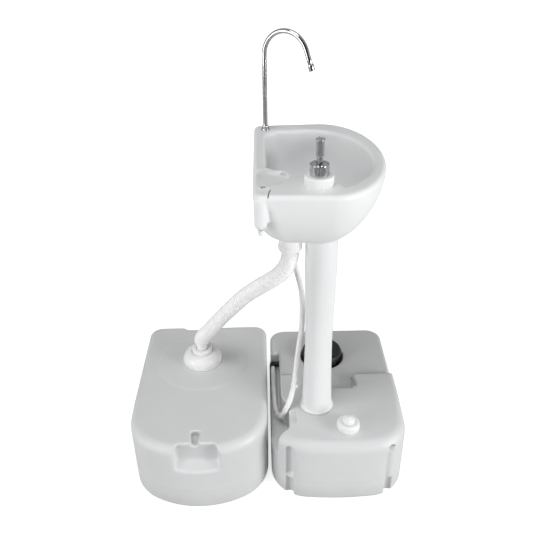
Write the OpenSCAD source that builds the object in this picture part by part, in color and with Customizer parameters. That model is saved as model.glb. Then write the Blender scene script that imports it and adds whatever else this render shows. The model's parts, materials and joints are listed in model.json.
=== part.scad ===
// Camp wash stand: two moulded water tanks side by side, a column that plugs into the
// fresh-water tank, a D-shaped basin on the column, a foot pump and a gooseneck spout.
// Frame: +X to the user's side (basin front), +Y to the foot pump end, +Z up.
// The origin is on the floor, in the middle of the stand seen from above. Inside this file
// X = 0 is the middle of the gap between the tanks, and place shifts every piece from there.
// All sizes are in millimetres.

/* [Tanks] */
// Width of the fresh-water tank, across X
fresh_w = 323; // [310:1:336]
// Width of the recovery tank, across X
grey_w = 330; // [316:1:344]
// Gap between the two tanks
tank_gap = 8; // [4:1:20]
// Wall thickness of both moulded tanks
tank_wall = 4; // [3:0.5:5]
// Height of the parting line of both tanks
seam_z = 62; // [50:1:74]
// Y of the far faces of the fresh-water tank
fresh_far_y = 276.5; // [268:0.5:286]
// Length of the fresh-water tank, along Y
fresh_l = 474; // [464:1:484]
// Height of the fresh-water tank's raised half
fresh_h = 178; // [172:1:186]
// Height of the foot plate half of the fresh-water tank
deck_h = 158; // [154:1:164]
// Y of the far face of the recovery tank
grey_far_y = 260; // [252:1:268]
// Length of the recovery tank
grey_l = 475.5; // [460:0.5:490]
// Height of the recovery tank
grey_h = 188; // [180:1:196]
// Radius of the round shoulder along each tank's top edge
shoulder_r = 12; // [9:1:16]
// Radius of the fresh-water tank's far corners
fresh_far_r = 43; // [36:1:50]
// Radius of the fresh-water tank's near corners
fresh_near_r = 89; // [80:1:98]
// Radius of the recovery tank's far corners
grey_far_r = 34; // [28:1:40]
// Radius of the recovery tank's near corners
grey_near_r = 110; // [100:1:118]

/* [Column] */
// X of the column's axis
column_x = 117; // [112:1:122]
// Y of the column's axis, which is the bowl's middle plane
column_y = -56; // [-60:1:-50]
// Height of the column above the tank's top
column_h = 482; // [440:1:520]
// Outer radius of the column at its upper end
column_top_r = 34.5; // [33:0.5:37]
// Outer radius of the column's waist
column_waist_r = 31; // [29:0.5:32]
// Outer radius of the column just above its foot flange
column_foot_r = 37; // [35:0.5:39]
// Radius of the column's foot flange
column_flange_r = 40.5; // [39:0.5:43]
// Wall thickness of the column
column_wall = 3.5; // [3:0.5:4]
// Depth of the socket in the tank that holds the column
socket_depth = 60; // [45:1:70]

/* [Basin] */
// Height from the column's upper end to the basin's rim
basin_rise = 162; // [156:1:170]
// X of the basin's flat back
basin_back_x = -22.5; // [-26:0.5:-19]
// X of the basin's curved front
basin_front_x = 234.5; // [224:0.5:244]
// Half of the basin's width, across Y
basin_half = 194.5; // [187:0.5:202]
// Depth of the bowl at the drain
bowl_depth = 146; // [138:1:148]
// Width of the rim at the bowl's front
rim_front = 27.5; // [24:0.5:32]
// Width of the rim at the bowl's back
rim_back = 24.5; // [21:0.5:28]
// Mean width of the rim at the bowl's two sides
rim_side = 36.5; // [32:0.5:41]
// Shift of the basin's outside along Y, away from the bowl's middle
basin_shift = 9.5; // [7:0.5:12]
// X of the drain
drain_x = 50; // [46:1:52]
// Radius of the drain's bore
drain_bore_r = 16; // [14:0.5:17]

/* [Spout] */
// X of the spout's stem
spout_x = 3; // [0:1:6]
// Y of the spout's stem
spout_y = 107; // [103:1:109]
// Outer radius of the spout's tube
spout_r = 5; // [4:0.25:6]
// Wall thickness of the spout's tube
spout_wall = 1; // [0.8:0.1:1.2]
// Height of the straight stem above the rim
spout_stem_h = 158; // [130:1:180]
// Radius of the gooseneck's arc
spout_arc_r = 50; // [42:1:56]
// Angle that the gooseneck turns through
spout_turn = 160; // [140:1:175]
// Length of the straight end after the arc
spout_end = 27; // [15:1:40]
// Direction of the spout at rest, from +X
spout_azimuth = -32; // [-60:1:60]

/* [Caps and nuts] */
// Radius of the filler neck's bore
filler_bore_r = 17; // [15:0.5:18]
// Height of the filler neck above the tank's top
filler_neck_h = 16; // [12:1:20]
// Radius of the filler cap
filler_cap_r = 26.5; // [26:0.5:29]
// Radius of the recovery neck's bore
grey_bore_r = 38; // [34:0.5:39]
// Height of the recovery neck
grey_neck_h = 18; // [14:1:22]
// Radius of the recovery tank's union nut
union_nut_r = 51; // [49:0.5:54]
// Wall thickness of both tanks' necks
neck_wall = 5; // [4:0.5:6]

/* [Foot pump] */
// X of the pump's axis
pump_x = 148; // [146:1:152]
// Y of the pump's axis
pump_y = 156; // [152:1:160]
// Radius of the foot pedal
pedal_r = 53; // [52:1:56]
// Gap between the pedal and its well
well_gap = 5; // [3:0.5:6]
// Depth of the pump well below the foot plate
well_depth = 68; // [64:1:74]
// Height that the pedal's top stands above the foot plate
pedal_stand = 28; // [14:1:32]
// Travel of the pedal
pedal_travel = 20; // [12:1:22]

/* [Soap dispenser] */
// X of the soap dispenser's axis
soap_x = 95; // [92:1:98]
// Y of the soap dispenser's axis
soap_y = -190; // [-193:1:-188]
// Radius of the soap bottle
bottle_r = 22; // [20:0.5:23]
// Depth of the soap bottle below the rim
bottle_depth = 78; // [60:1:80]
// Radius of the white screw collar
soap_collar_r = 26.3; // [25.5:0.1:27.5]
// Travel of the soap pump
soap_travel = 12; // [8:1:12]

/* [Hoses] */
// Outer diameter of the ribbed drain hose
drain_hose_d = 38; // [34:1:39]
// Bore of the ribbed drain hose
drain_hose_bore = 29; // [26:1:30]
// Number of ribs on the drain hose
drain_ribs = 100; // [80:2:120]
// Outer diameter of the supply hose
supply_d = 13; // [11:1:13]

/* [Hidden] */
$fn = 72;
eps = 0.01;

// Fits: running gap of sliding and turning pieces, seat gap of loose pieces
run_gap = 0.05;
fit_gap = 0.3;
thin = 1.5;

// Places worked out from the driving sizes
fresh_x0 = tank_gap / 2;
fresh_x1 = fresh_x0 + fresh_w;
fresh_y0 = fresh_far_y - fresh_l;
grey_x1 = -tank_gap / 2;
grey_x0 = grey_x1 - grey_w;
grey_y0 = grey_far_y - grey_l;
foot_r = 10;
deck_inset = 3;
seam_proud = 0.8;
step_run = 23;
step_y = 76;
filler_x = 186;
filler_y = fresh_y0 + 61.5;
union_x = grey_x0 + 160;
union_y = grey_far_y - 152;

// Each tank's X and Y limits, radius of its bulging near end, near and far corner radius
FRESH = [fresh_x0, fresh_x1, fresh_y0, fresh_far_y, 2.5 * fresh_w, fresh_near_r, fresh_far_r];
GREY = [grey_x0, grey_x1, grey_y0, grey_far_y, 0.68 * grey_w, grey_near_r, grey_far_r];

column_top_z = fresh_h + column_h;
rim_z = column_top_z + basin_rise;
belly_z = column_top_z + 1;
belly_depth = rim_z - belly_z;
bowl_floor_z = rim_z - bowl_depth;
basin_mid_x = 88.5;
basin_mid_y = column_y + basin_shift;
// The basin's near side reaches furthest towards -Y, the fresh-water tank's seam furthest the other way
place = [-(grey_x0 + fresh_x1) / 2, -(basin_mid_y - basin_half + fresh_far_y + seam_proud) / 2, 0];
column_spigot_r = 33.2;
basin_spigot_r = column_top_r - column_wall - fit_gap;

well_floor_z = deck_h - well_depth;
well_r = pedal_r + well_gap;
pedal_top_z = deck_h + pedal_stand;

// Shared helpers ------------------------------------------------------------------------

function arc_open(c, r, a0, a1, n) =
    [for (i = [0 : n - 1]) let (a = a0 + (a1 - a0) * i / n) [c[0] + r * cos(a), c[1] + r * sin(a)]];
function arc(c, r, a0, a1, n) =
    [for (i = [0 : n]) let (a = a0 + (a1 - a0) * i / n) [c[0] + r * cos(a), c[1] + r * sin(a)]];
function unit(v) = v / norm(v);

// Faces of a stack of m rings of n points, closed at both ends
function loft_faces(n, m) = concat(
    [[for (i = [0 : n - 1]) i]],
    [[for (i = [n - 1 : -1 : 0]) i + (m - 1) * n]],
    [for (j = [0 : m - 2], i = [0 : n - 1], t = [0, 1])
        let (p0 = j * n + i, p1 = j * n + (i + 1) % n)
        t == 0 ? [p0, p0 + n, p1 + n] : [p0, p1 + n, p1]]);

// Faces of m rings joined in a loop, such as a tube's outside and its bore
function ring_loop_faces(n, m) =
    [for (j = [0 : m - 1], i = [0 : n - 1], t = [0, 1])
        let (k = (j + 1) % m, p0 = j * n + i, p1 = j * n + (i + 1) % n,
             q0 = k * n + i, q1 = k * n + (i + 1) % n)
        t == 0 ? [p0, q0, q1] : [p0, q1, p1]];

module loft(rings) {
    n = len(rings[0]);
    polyhedron(points = [for (r = rings) each r], faces = loft_faces(n, len(rings)), convexity = 8);
}

function at_z(outline, z) = [for (p = outline) [p[0], p[1], z]];

// Point on a smooth curve through hand-chosen points, t from 0 to len - 1
function curve_pt(p, t) =
    let (n = len(p), i = min(floor(t), n - 2), u = t - i,
         a = p[max(i - 1, 0)], b = p[i], c = p[i + 1], d = p[min(i + 2, n - 1)])
    0.5 * (2 * b + (c - a) * u + (2 * a - 5 * b + 4 * c - d) * u * u
        + (3 * b - a - 3 * c + d) * u * u * u);

function tangent(p, i) = unit(p[min(i + 1, len(p) - 1)] - p[max(i - 1, 0)]);

// Ring of n points of radius r about point p, square to direction t
function ring_at(p, t, r, n, ref) =
    let (u = unit(cross(ref, t)), v = cross(t, u))
    [for (k = [0 : n - 1]) let (a = 360 * (k + 0.5) / n) p + r * (cos(a) * u + sin(a) * v)];

module tube_along(route, r, sides, ref) {
    loft([for (i = [0 : len(route) - 1]) ring_at(route[i], tangent(route, i), r, sides, ref)]);
}

module disc(r, z0, z1) { translate([0, 0, z0]) cylinder(r = r, h = z1 - z0); }

module ring(r_out, r_in, z0, z1) {
    difference() {
        disc(r_out, z0, z1);
        disc(r_in, z0 - 1, z1 + 1);
    }
}

// Closed coil of round wire: turns, mean radius, wire radius, from z0 to z1
module coil(turns, coil_r, wire_r, z0, z1) {
    steps = turns * 8;
    route = [for (i = [0 : steps]) let (a = 360 * turns * i / steps)
        [coil_r * cos(a), coil_r * sin(a), z0 + wire_r + (z1 - z0 - 2 * wire_r) * i / steps]];
    tube_along(route, wire_r, 6, [0, 0, 1]);
}

// Ring of small ribs round a turned piece, for grip
module grip_ribs(count, r, size, z0, z1) {
    for (i = [0 : count - 1]) rotate(360 * i / count)
        translate([r, 0, z0]) cylinder(r = size, h = z1 - z0, $fn = 16);
}

// Tanks ---------------------------------------------------------------------------------

// Outline of tank t seen from above, d inside its outer face: the near end bulges
function tank_plan(t, d) =
    let (cx = (t[0] + t[1]) / 2, half = (t[1] - t[0]) / 2, cy = t[2] + t[4],
         ny = cy - sqrt(pow(t[4] - t[5], 2) - pow(half - t[5], 2)),
         th = atan2(ny - cy, half - t[5]))
    concat(
        arc_open([cx, cy], t[4] - d, -180 - th, th, 12),
        arc([t[1] - t[5], ny], t[5] - d, th, 0, 8),
        arc([t[1] - t[6], t[3] - t[6]], t[6] - d, 0, 90, 6),
        arc([t[0] + t[6], t[3] - t[6]], t[6] - d, 90, 180, 6),
        arc_open([t[0] + t[5], ny], t[5] - d, 180, 180 - th, 8));

// Inset and height of each level of a tank wall with a round foot, a seam and a shoulder
function foot_levels(z0, r) =
    [for (i = [0 : 4]) let (a = 90 * i / 4) [r * (1 - sin(a)), z0 + r * (1 - cos(a))]];
function seam_levels(proud, after) = [[0, seam_z - 2], [-proud, seam_z], [after, seam_z + 2]];
function shoulder_levels(z1, r, d) =
    [for (i = [0 : 5]) let (a = 90 * i / 5) [d + r * (1 - cos(a)), z1 - r + r * sin(a)]];

module tank_loft(t, wall, levels) {
    loft([for (l = levels) at_z(tank_plan(t, l[0] + wall), l[1])]);
}

// Half space under the slanted step between the raised half and the foot plate
module step_wedge(back) {
    translate([fresh_x0 - 10, 0, 0]) rotate([90, 0, 90]) linear_extrude(fresh_w + 20)
        polygon([[fresh_y0 - 10, seam_z - 10], [step_y - back, seam_z - 10],
                 [step_y - back, deck_h - back],
                 [step_y - step_run - back, fresh_h - back], [step_y - step_run - back, fresh_h + 10],
                 [fresh_y0 - 10, fresh_h + 10]]);
}

module fresh_body(wall) {
    proud = wall > 0 ? 0 : seam_proud;
    low = concat(foot_levels(wall, foot_r - wall / 2), seam_levels(proud, deck_inset),
        shoulder_levels(deck_h - wall, shoulder_r - 4 - wall / 2, deck_inset));
    high = concat([[-proud, seam_z], [0, seam_z + 2]],
        shoulder_levels(fresh_h - wall, shoulder_r - wall / 2, 0));
    tank_loft(FRESH, wall, low);
    intersection() {
        tank_loft(FRESH, wall, high);
        step_wedge(wall);
    }
}

// Round-cornered block, exact, from z0 up past the tank's top
module rounded_block(x0, x1, y0, y1, r, z0, z1) {
    translate([0, 0, z0]) linear_extrude(z1 - z0) {
        translate([x0 + r, y0]) square([x1 - x0 - 2 * r, y1 - y0]);
        translate([x0, y0 + r]) square([x1 - x0, y1 - y0 - 2 * r]);
        for (x = [x0 + r, x1 - r], y = [y0 + r, y1 - r]) translate([x, y]) circle(r);
    }
}

slot_x1 = 31;
slot_y0 = -30;
slot_y1 = 169;
slot_floor_z = deck_h - 40;
pocket_floor_z = deck_h - 46;
pocket_x1 = 48;
notch_x0 = 70;
notch_x1 = 226;
groove_r = 10.5;
groove_z1 = fresh_h - 28;
groove_inset = 43;
over = 40;

// Everything that is sunk into the fresh-water tank, grown by g for the inner face
module fresh_recesses(g) {
    // well of the foot pump
    translate([pump_x, pump_y, 0]) disc(well_r + g, well_floor_z - g, fresh_h + over);
    // socket of the column
    translate([column_x, column_y, 0])
        disc(column_spigot_r + fit_gap + g, fresh_h - socket_depth - fit_gap - g, fresh_h + over);
    // slot and pocket for the supply hose, in the side towards the other tank
    rounded_block(fresh_x0 - 30, slot_x1 + g, slot_y0 - g, slot_y1 + g, 6, slot_floor_z - g, fresh_h + over);
    translate([0, 0, pocket_floor_z - g]) linear_extrude(fresh_h + over)
        polygon([[fresh_x0 - 30, -180 - g], [fresh_x0, -166 - g], [pocket_x1 - 5 + g, -138 - g],
                 [pocket_x1 + g, -130], [pocket_x1 + g, -62], [slot_x1 + g, -24], [slot_x1, slot_y0 + 12],
                 [fresh_x0 - 30, slot_y0 + 12]]);
    // notch in front of the foot plate
    rounded_block(notch_x0 - g, notch_x1 + g, -2 - g, step_y + 4, 34, deck_h - g, fresh_h + over);
    // hand grooves in the near corners, each with a thin web at the seam
    for (x = [fresh_x0 + groove_inset, fresh_x1 - groove_inset - 1])
        translate([x, fresh_y0 + 19, 0]) {
            if (g > 0) disc(groove_r + g, -1, groove_z1);
            else {
                disc(groove_r, -1, seam_z - 1.5);
                disc(groove_r, seam_z + 1.5, groove_z1);
                translate([0, -4, 0]) disc(2, 0, seam_z + 10);
            }
            translate([0, 0, groove_z1]) sphere(r = groove_r + g);
        }
}

module neck(r_bore, z_top, h) {
    disc(r_bore + neck_wall, z_top - 8, z_top + h);
    for (k = [0 : 1]) let (z = z_top + h * (0.35 + 0.35 * k)) disc(r_bore + neck_wall + 0.8, z, z + 1.4);
}

port_z = well_floor_z + 10;
elbow_z = deck_h - 28;
elbow_y = pump_y;

module fresh_tank() color("gainsboro") translate(place) {
    difference() {
        union() {
            difference() {
                fresh_body(0);
                fresh_recesses(0);
            }
            translate([filler_x, filler_y, 0]) neck(filler_bore_r, fresh_h, filler_neck_h);
            // ribs across the foot plate's notch
            for (k = [0 : 2]) translate([notch_x0 + 12, 40 + 9 * k, deck_h - 2]) cube([50, 3, 3]);
        }
        difference() {
            fresh_body(tank_wall);
            fresh_recesses(tank_wall);
        }
        translate([filler_x, filler_y, 0]) disc(filler_bore_r, fresh_h - 20, fresh_h + over);
        // hole under the pump, wall port of the elbow and the well's port
        translate([pump_x, pump_y, 0]) disc(base_tail_r + fit_gap, well_floor_z - over, well_floor_z + 1);
        translate([slot_x1 - 2, elbow_y, elbow_z]) rotate([0, 90, 0])
            cylinder(r = elbow_r + fit_gap, h = tank_wall + 4);
        translate([pump_x - well_r - tank_wall - 2, pump_y, port_z]) rotate([0, 90, 0])
            cylinder(r = elbow_r + fit_gap, h = tank_wall + 4);
        // rest for a hose clip beside the pocket
        rounded_block(49.5, 66, -118, -84, 2, fresh_h - 2.2, fresh_h + 2);
        // shallow panel under the floor
        rounded_block(fresh_x0 + 60, fresh_x1 - 60, fresh_y0 + 80, fresh_far_y - 60, 20, -1, 1.2);
    }
}

grip_x0 = grey_x0 + 115;
grip_x1 = grey_x0 + 218;
grip_z0 = grey_h - 75;
grip_corner = 22;
far_grip_in = 13;

// Hand grip at one end of the recovery tank: a scoop under the edge and a finger slot
module grip_recess(g) {
    y0 = grey_y0;
    r = grip_corner;
    intersection() {
        translate([0, y0 + 60, 0]) rotate([90, 0, 0]) linear_extrude(100) {
            translate([grip_x0 - g + r, grip_z0 - g]) square([grip_x1 - grip_x0 + 2 * g - 2 * r, 130]);
            translate([grip_x0 - g, grip_z0 - g + r]) square([grip_x1 - grip_x0 + 2 * g, 130]);
            for (x = [grip_x0 - g + r, grip_x1 + g - r]) translate([x, grip_z0 - g + r]) circle(r);
        }
        translate([grip_x0 - 20, 0, 0]) rotate([90, 0, 90]) linear_extrude(grip_x1 - grip_x0 + 40)
            polygon([[y0 + 28.5 + g, grey_h + over], [y0 + 28.5 + g, grey_h - 4],
                     [y0 + 38 + g, grey_h - 26], [y0 + 38 + g, grip_z0 + 22 - g],
                     [y0 - 2, grip_z0 - g], [y0 - 30, grip_z0 - g], [y0 - 30, grey_h + over]]);
    }
    rounded_block(grey_x0 + 149 - g, grey_x0 + 173.5 + g, y0 + 14, y0 + 68 + g, 3,
        grey_h - 18 - g, grey_h + over);
}

// Shallow hand recess in the far end, open at the top
module far_grip(g) {
    translate([0, 0, grip_z0 - g]) linear_extrude(130) polygon([
        [grey_x0 + 92 - g, grey_far_y + 3], [grey_x0 + 104 - g, grey_far_y - far_grip_in - g],
        [grey_x0 + 180 + g, grey_far_y - far_grip_in - g], [grey_x0 + 192 + g, grey_far_y + 3]]);
}

module grey_body(wall) {
    levels = concat(foot_levels(wall, foot_r - wall / 2), seam_levels(wall > 0 ? 0 : seam_proud, 0),
        shoulder_levels(grey_h - wall, shoulder_r - wall / 2, 0));
    tank_loft(GREY, wall, levels);
}

module grey_tank() color("gainsboro") translate(place) {
    difference() {
        union() {
            difference() {
                union() {
                    grey_body(0);
                    // raised pad round the neck
                    translate([union_x, union_y, 0]) disc(118, grey_h - 4, grey_h + 1);
                }
                grip_recess(0);
                far_grip(0);
            }
            translate([union_x, union_y, 0]) neck(grey_bore_r, grey_h + 1, grey_neck_h);
        }
        difference() {
            grey_body(tank_wall);
            grip_recess(tank_wall);
            far_grip(tank_wall);
        }
        translate([union_x, union_y, 0]) disc(grey_bore_r, grey_h - 20, grey_h + over);
        rounded_block(grey_x0 + 60, grey_x1 - 60, grey_y0 + 90, grey_far_y - 60, 20, -1, 1.2);
    }
}

// Column and basin ----------------------------------------------------------------------

waist_up = 205;

// Outer radius of the column at height h above the tank
function column_r(h) = h < waist_up
    ? column_waist_r + (column_foot_r - column_waist_r) * pow((waist_up - h) / waist_up, 1.6)
    : column_waist_r + (column_top_r - column_waist_r) * (1 - cos(180 * min(1, (h - waist_up) / 180))) / 2;

module column() color("whitesmoke") translate(place) translate([column_x, column_y, fresh_h]) {
    steps = 24;
    rotate_extrude() difference() {
        union() {
            polygon(concat(
                [[0, 4]],
                [for (i = [0 : steps]) let (h = 4 + (column_h - 4) * i / steps) [column_r(h), h]],
                [[0, column_h]]));
            polygon([[0, fit_gap], [column_flange_r - 1, fit_gap], [column_flange_r, 1.5],
                     [column_flange_r, 4], [column_flange_r - 1.5, 6], [column_foot_r - 0.5, 9], [0, 9]]);
            translate([0, 1 - socket_depth]) square([column_spigot_r, socket_depth]);
        }
        polygon(concat(
            [[-1, -socket_depth], [column_spigot_r - column_wall, -socket_depth]],
            [[column_spigot_r - column_wall, 8]],
            [for (i = [1 : steps - 4]) let (h = 8 + (column_h - 68) * i / (steps - 4))
                [column_r(h) - column_wall, h]],
            [[column_top_r - column_wall, column_h - 55], [column_top_r - column_wall, column_h + 1],
             [-1, column_h + 1]]));
    }
}

// D outline about the line y = my: flat back at x0, half-ellipse front from xs to x1
function d_plan(x0, x1, half, xs, rb, my) = concat(
    [for (i = [0 : 24]) let (a = -90 + 180 * i / 24) [xs + (x1 - xs) * cos(a), my + half * sin(a)]],
    arc([x0 + rb, my + half - rb - 5], rb, 80, 180, 5),
    arc([x0 + rb, my - half + rb + 5], rb, 180, 280, 5));

function shrink(s, p) = pow(1 - pow(s, p), 1 / p);

// Outline of the belly at depth share s, and of the bowl's face at depth share s
function belly_plan(s, d) =
    let (gl = shrink(s, 2.43), gr = shrink(s, 1.88), gy = shrink(s, 2.18))
    d_plan(basin_mid_x - (basin_mid_x - basin_back_x) * gl + d,
           basin_mid_x + (basin_front_x - basin_mid_x) * gr - d,
           basin_half * gy - d, basin_mid_x + 30 * gr,
           min(14 + 150 * min(s, 0.2), 60 * gl, basin_half * gy * 0.8) - d / 2, basin_mid_y);
function bowl_plan(s, d) =
    let (gl = shrink(s, 3), gr = shrink(s, 2.3), gy = shrink(s, 2.6))
    d_plan(drain_x - (drain_x - basin_back_x - rim_back) * gl - d,
           drain_x + (basin_front_x - rim_front - drain_x) * gr + d,
           (basin_half - rim_side) * gy + d, drain_x + 44 * gr,
           34 * min(gl, gy), column_y);

belly_steps = [0.05, 0.12, 0.2, 0.32, 0.45, 0.57, 0.68, 0.77, 0.85, 0.91, 0.955, 0.985, 0.998];
bowl_steps = [0.06, 0.15, 0.28, 0.42, 0.55, 0.67, 0.77, 0.85, 0.91, 0.955, 0.985, 0.998];
lip_r = 5;

module belly() {
    loft(concat(
        [for (s = [for (i = [len(belly_steps) - 1 : -1 : 0]) belly_steps[i]])
            at_z(belly_plan(s, 0), rim_z - belly_depth * s)],
        [for (i = [0 : 4]) let (a = 90 * i / 4)
            at_z(belly_plan(0, lip_r * (1 - cos(a))), rim_z - lip_r + lip_r * sin(a))]));
}

module bowl_space() {
    loft(concat(
        [for (s = [for (i = [len(bowl_steps) - 1 : -1 : 0]) bowl_steps[i]])
            at_z(bowl_plan(s, 0), rim_z - bowl_depth * s)],
        [for (i = [0 : 4]) let (a = 90 * i / 4)
            at_z(bowl_plan(0, lip_r * (1 - cos(a))), rim_z - lip_r + lip_r * sin(a))],
        [at_z(bowl_plan(0, lip_r), rim_z + 12)]));
}

// Edge of the soap ledge towards the bowl, from the back round the dispenser to the front
ledge_edge = [[-30, -112], [0, -113], [22, -128], [48, -141], [78, -149], [108, -152],
              [132, -165], [152, -186], [166, -212]];

function ledge_plan(dy) = concat(
    [[basin_back_x - 20, basin_mid_y - basin_half - 20]], [[180, basin_mid_y - basin_half - 20]],
    [for (i = [16 : -1 : 0]) let (p = curve_pt(ledge_edge, i * (len(ledge_edge) - 1) / 16))
        [p[0], p[1] + dy]]);

module soap_ledge() {
    loft([at_z(ledge_plan(-34), bowl_floor_z - 20), at_z(ledge_plan(-22), rim_z - 110),
          at_z(ledge_plan(-9), rim_z - 50), at_z(ledge_plan(-1), rim_z - 12),
          at_z(ledge_plan(-1), rim_z - 7), at_z(ledge_plan(-3), rim_z - 2.5),
          at_z(ledge_plan(-7), rim_z)]);
}

dish_bead = [[-15, -126], [-6, -115], [7, -116], [19, -125], [29, -130], [38, -135], [47, -142]];
post_r = 13;
post_z = rim_z - 100;
plug_hole = [-4, -200];
rib_x = basin_back_x + 13.5;
rib_y = basin_half - 13;
rib_end_z = rim_z - 56;

module basin() color("gainsboro") translate(place) {
    difference() {
        union() {
            difference() {
                union() {
                    belly();
                    // posts down through the corner for the spout's shank, and a rib at each back corner
                    translate([spout_x, spout_y, 0]) disc(post_r, post_z, rim_z - 20);
                    for (k = [-1, 1]) translate([rib_x, basin_mid_y + k * rib_y, 0]) {
                        disc(12, rib_end_z, rim_z - 3);
                        translate([0, 0, rib_end_z]) sphere(r = 12);
                    }
                    // stub for the drain nut with its seat, boss and spigot for the column
                    translate([drain_x, column_y, 0]) {
                        disc(drain_stub_r, stub_z, bowl_floor_z + 16);
                        disc(strainer_r + 4, bowl_floor_z - 9, bowl_floor_z + 16);
                    }
                    translate([column_x, column_y, 0]) {
                        disc(column_top_r, column_top_z, bowl_floor_z + 30);
                        disc(basin_spigot_r, column_top_z - 50, bowl_floor_z);
                    }
                }
                difference() {
                    bowl_space();
                    soap_ledge();
                }
            }
            // wavy bead of the soap dish and the collar round the spare hole
            tube_along([for (i = [0 : 14]) let (p = curve_pt(dish_bead, i * (len(dish_bead) - 1) / 14))
                [p[0], p[1], rim_z - 1 + 1.5 * sin(360 * i / 9)]], 3.6, 10, [0, 0, 1]);
            translate([plug_hole[0], plug_hole[1], 0]) disc(9, rim_z - 4, rim_z + 1.5);
        }
        // bores: drain, spout's shank, spare hole, soap bottle, hollow spigot
        translate([drain_x, column_y, 0]) disc(drain_bore_r, stub_z - 1, rim_z);
        translate([drain_x, column_y, 0]) disc(strainer_r + fit_gap, bowl_floor_z - 2.5, bowl_floor_z + 30);
        translate([spout_x, spout_y, 0]) disc(shank_r + fit_gap, post_z - 1, rim_z + 1);
        translate([plug_hole[0], plug_hole[1], 0]) disc(5.5, rim_z - 28.5, rim_z + 10);
        translate([soap_x, soap_y, 0]) disc(bottle_r + 1, rim_z - bottle_depth - 2, rim_z + 10);
        translate([column_x, column_y, 0]) disc(basin_spigot_r - 4, column_top_z - 60, column_top_z - 6);
        // soap dish
        hull() for (p = [[-4, -182], [-4, -140], [8, -134], [26, -142], [40, -150], [26, -166], [14, -184]])
            translate([p[0], p[1], rim_z - 5]) cylinder(r = 4, h = 10, $fn = 24);
        // slit and finger recess beside the corner rib
        translate([8, -207, rim_z - 14]) rotate(-100) cube([50, 3, 20]);
        translate([6, basin_mid_y - basin_half - 5, rim_z - 34]) rotate([0, 90, 0]) cylinder(r = 9, h = 20);
    }
}

// Drain ---------------------------------------------------------------------------------

drain_stub_r = 21;
stub_z = column_top_z - 20;
strainer_r = 22;
drain_nut_r = 25;
drain_nut_z0 = column_top_z - 42;
drain_nut_z1 = belly_z - 1.5;

module drain_nut() color("white") translate(place) translate([drain_x, column_y, 0]) {
    difference() {
        union() {
            disc(drain_nut_r - 1, drain_nut_z0, drain_nut_z1);
            disc(drain_nut_r, drain_nut_z0 + 1, drain_nut_z0 + 12);
            grip_ribs(24, drain_nut_r - 0.6, 1.2, drain_nut_z0 + 1.5, drain_nut_z0 + 11);
        }
        disc(drain_stub_r + run_gap, stub_z, drain_nut_z1 + 1);
        disc(drain_hose_d / 2 + 1, drain_nut_z0 - 1, stub_z + 1);
    }
}

module drain_strainer() color("silver") translate(place) translate([drain_x, column_y, 0]) {
    difference() {
        union() {
            disc(strainer_r, bowl_floor_z - 1.7, bowl_floor_z + 0.6);
            disc(drain_bore_r - fit_gap, bowl_floor_z - 12, bowl_floor_z);
        }
        disc(drain_bore_r - 3, bowl_floor_z - 13, bowl_floor_z - 2.4);
        disc(2, bowl_floor_z - 14, bowl_floor_z + 2);
        for (i = [0 : 7]) rotate(45 * i) translate([8.5, 0, 0])
            disc(2.6, bowl_floor_z - 14, bowl_floor_z + 2);
    }
}

module drain_gasket() color("dimgray") translate(place) translate([drain_x, column_y, 0])
    ring(strainer_r - 0.5, drain_bore_r + 1, bowl_floor_z - 2.5, bowl_floor_z - 1.7);

adapter_z = grey_h + 1 + grey_neck_h + 2;
adapter_top_z = adapter_z + 0.605 * drain_hose_d;
adapter_r = 0.697 * drain_hose_d;

// Route of the drain hose's middle line, as shares of the way from the stub under the basin
// to the adapter
drain_top = [drain_x, column_y, stub_z];
drain_foot = [union_x, union_y, adapter_top_z - 8];
drain_shares = [
    [0, 0, 0], [0, 0, 0.031], [0, 0, 0.063], [0, 0, 0.094], [0.027, 0.012, 0.151],
    [0.085, 0.049, 0.209], [0.165, 0.116, 0.262], [0.259, 0.207, 0.317], [0.357, 0.305, 0.377],
    [0.451, 0.402, 0.44], [0.54, 0.494, 0.51], [0.629, 0.585, 0.582], [0.719, 0.683, 0.659],
    [0.804, 0.774, 0.733], [0.884, 0.866, 0.808], [0.946, 0.939, 0.861], [0.987, 0.988, 0.899],
    [1, 1, 0.938], [1, 1, 0.966], [1, 1, 1]
];
drain_route = [for (s = drain_shares)
    [for (k = [0 : 2]) drain_top[k] + s[k] * (drain_foot[k] - drain_top[k])]];
hose_sides = 8;
cuff_r = 14.5;
cuff_share = 0.88;

// Radius of ring i of n: a plain cuff at the lower end and ribs elsewhere
function hose_ring_r(i, n) = i > n * cuff_share + 3 ? cuff_r
    : (i % 2 == 0 ? drain_hose_d / 2 - 1.6 : drain_hose_d / 2);

module drain_hose() color("white") translate(place) {
    n = 2 * drain_ribs;
    last = len(drain_route) - 1;
    pts = [for (i = [0 : n]) curve_pt(drain_route, last * i / n)];
    ref = unit([164, 227, 0]);
    outer = [for (i = [0 : n]) ring_at(pts[i], tangent(pts, i), hose_ring_r(i, n), hose_sides, ref)];
    bore = [for (i = [n : -4 : 0]) let (r = i > n * cuff_share + 3 ? cuff_r - 2.5 : drain_hose_bore / 2)
        ring_at(pts[i], tangent(pts, i), r, hose_sides, ref)];
    rings = concat(outer, bore);
    polyhedron(points = [for (r = rings) each r], faces = ring_loop_faces(hose_sides, len(rings)),
        convexity = 12);
}

module hose_adapter() color("white") translate(place) translate([union_x, union_y, 0]) {
    difference() {
        union() {
            disc(grey_bore_r + neck_wall - 1, adapter_z, adapter_z + 4);
            disc(adapter_r, adapter_z, adapter_top_z - 1);
            disc(adapter_r - 0.8, adapter_z, adapter_top_z);
        }
        disc(11, adapter_z - 1, adapter_top_z);
        disc(cuff_r + 1, adapter_top_z - 8, adapter_top_z + 1);
    }
}

module union_gasket() color("dimgray") translate(place) translate([union_x, union_y, 0])
    ring(grey_bore_r + neck_wall - 1, grey_bore_r, adapter_z - 2, adapter_z);

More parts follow.
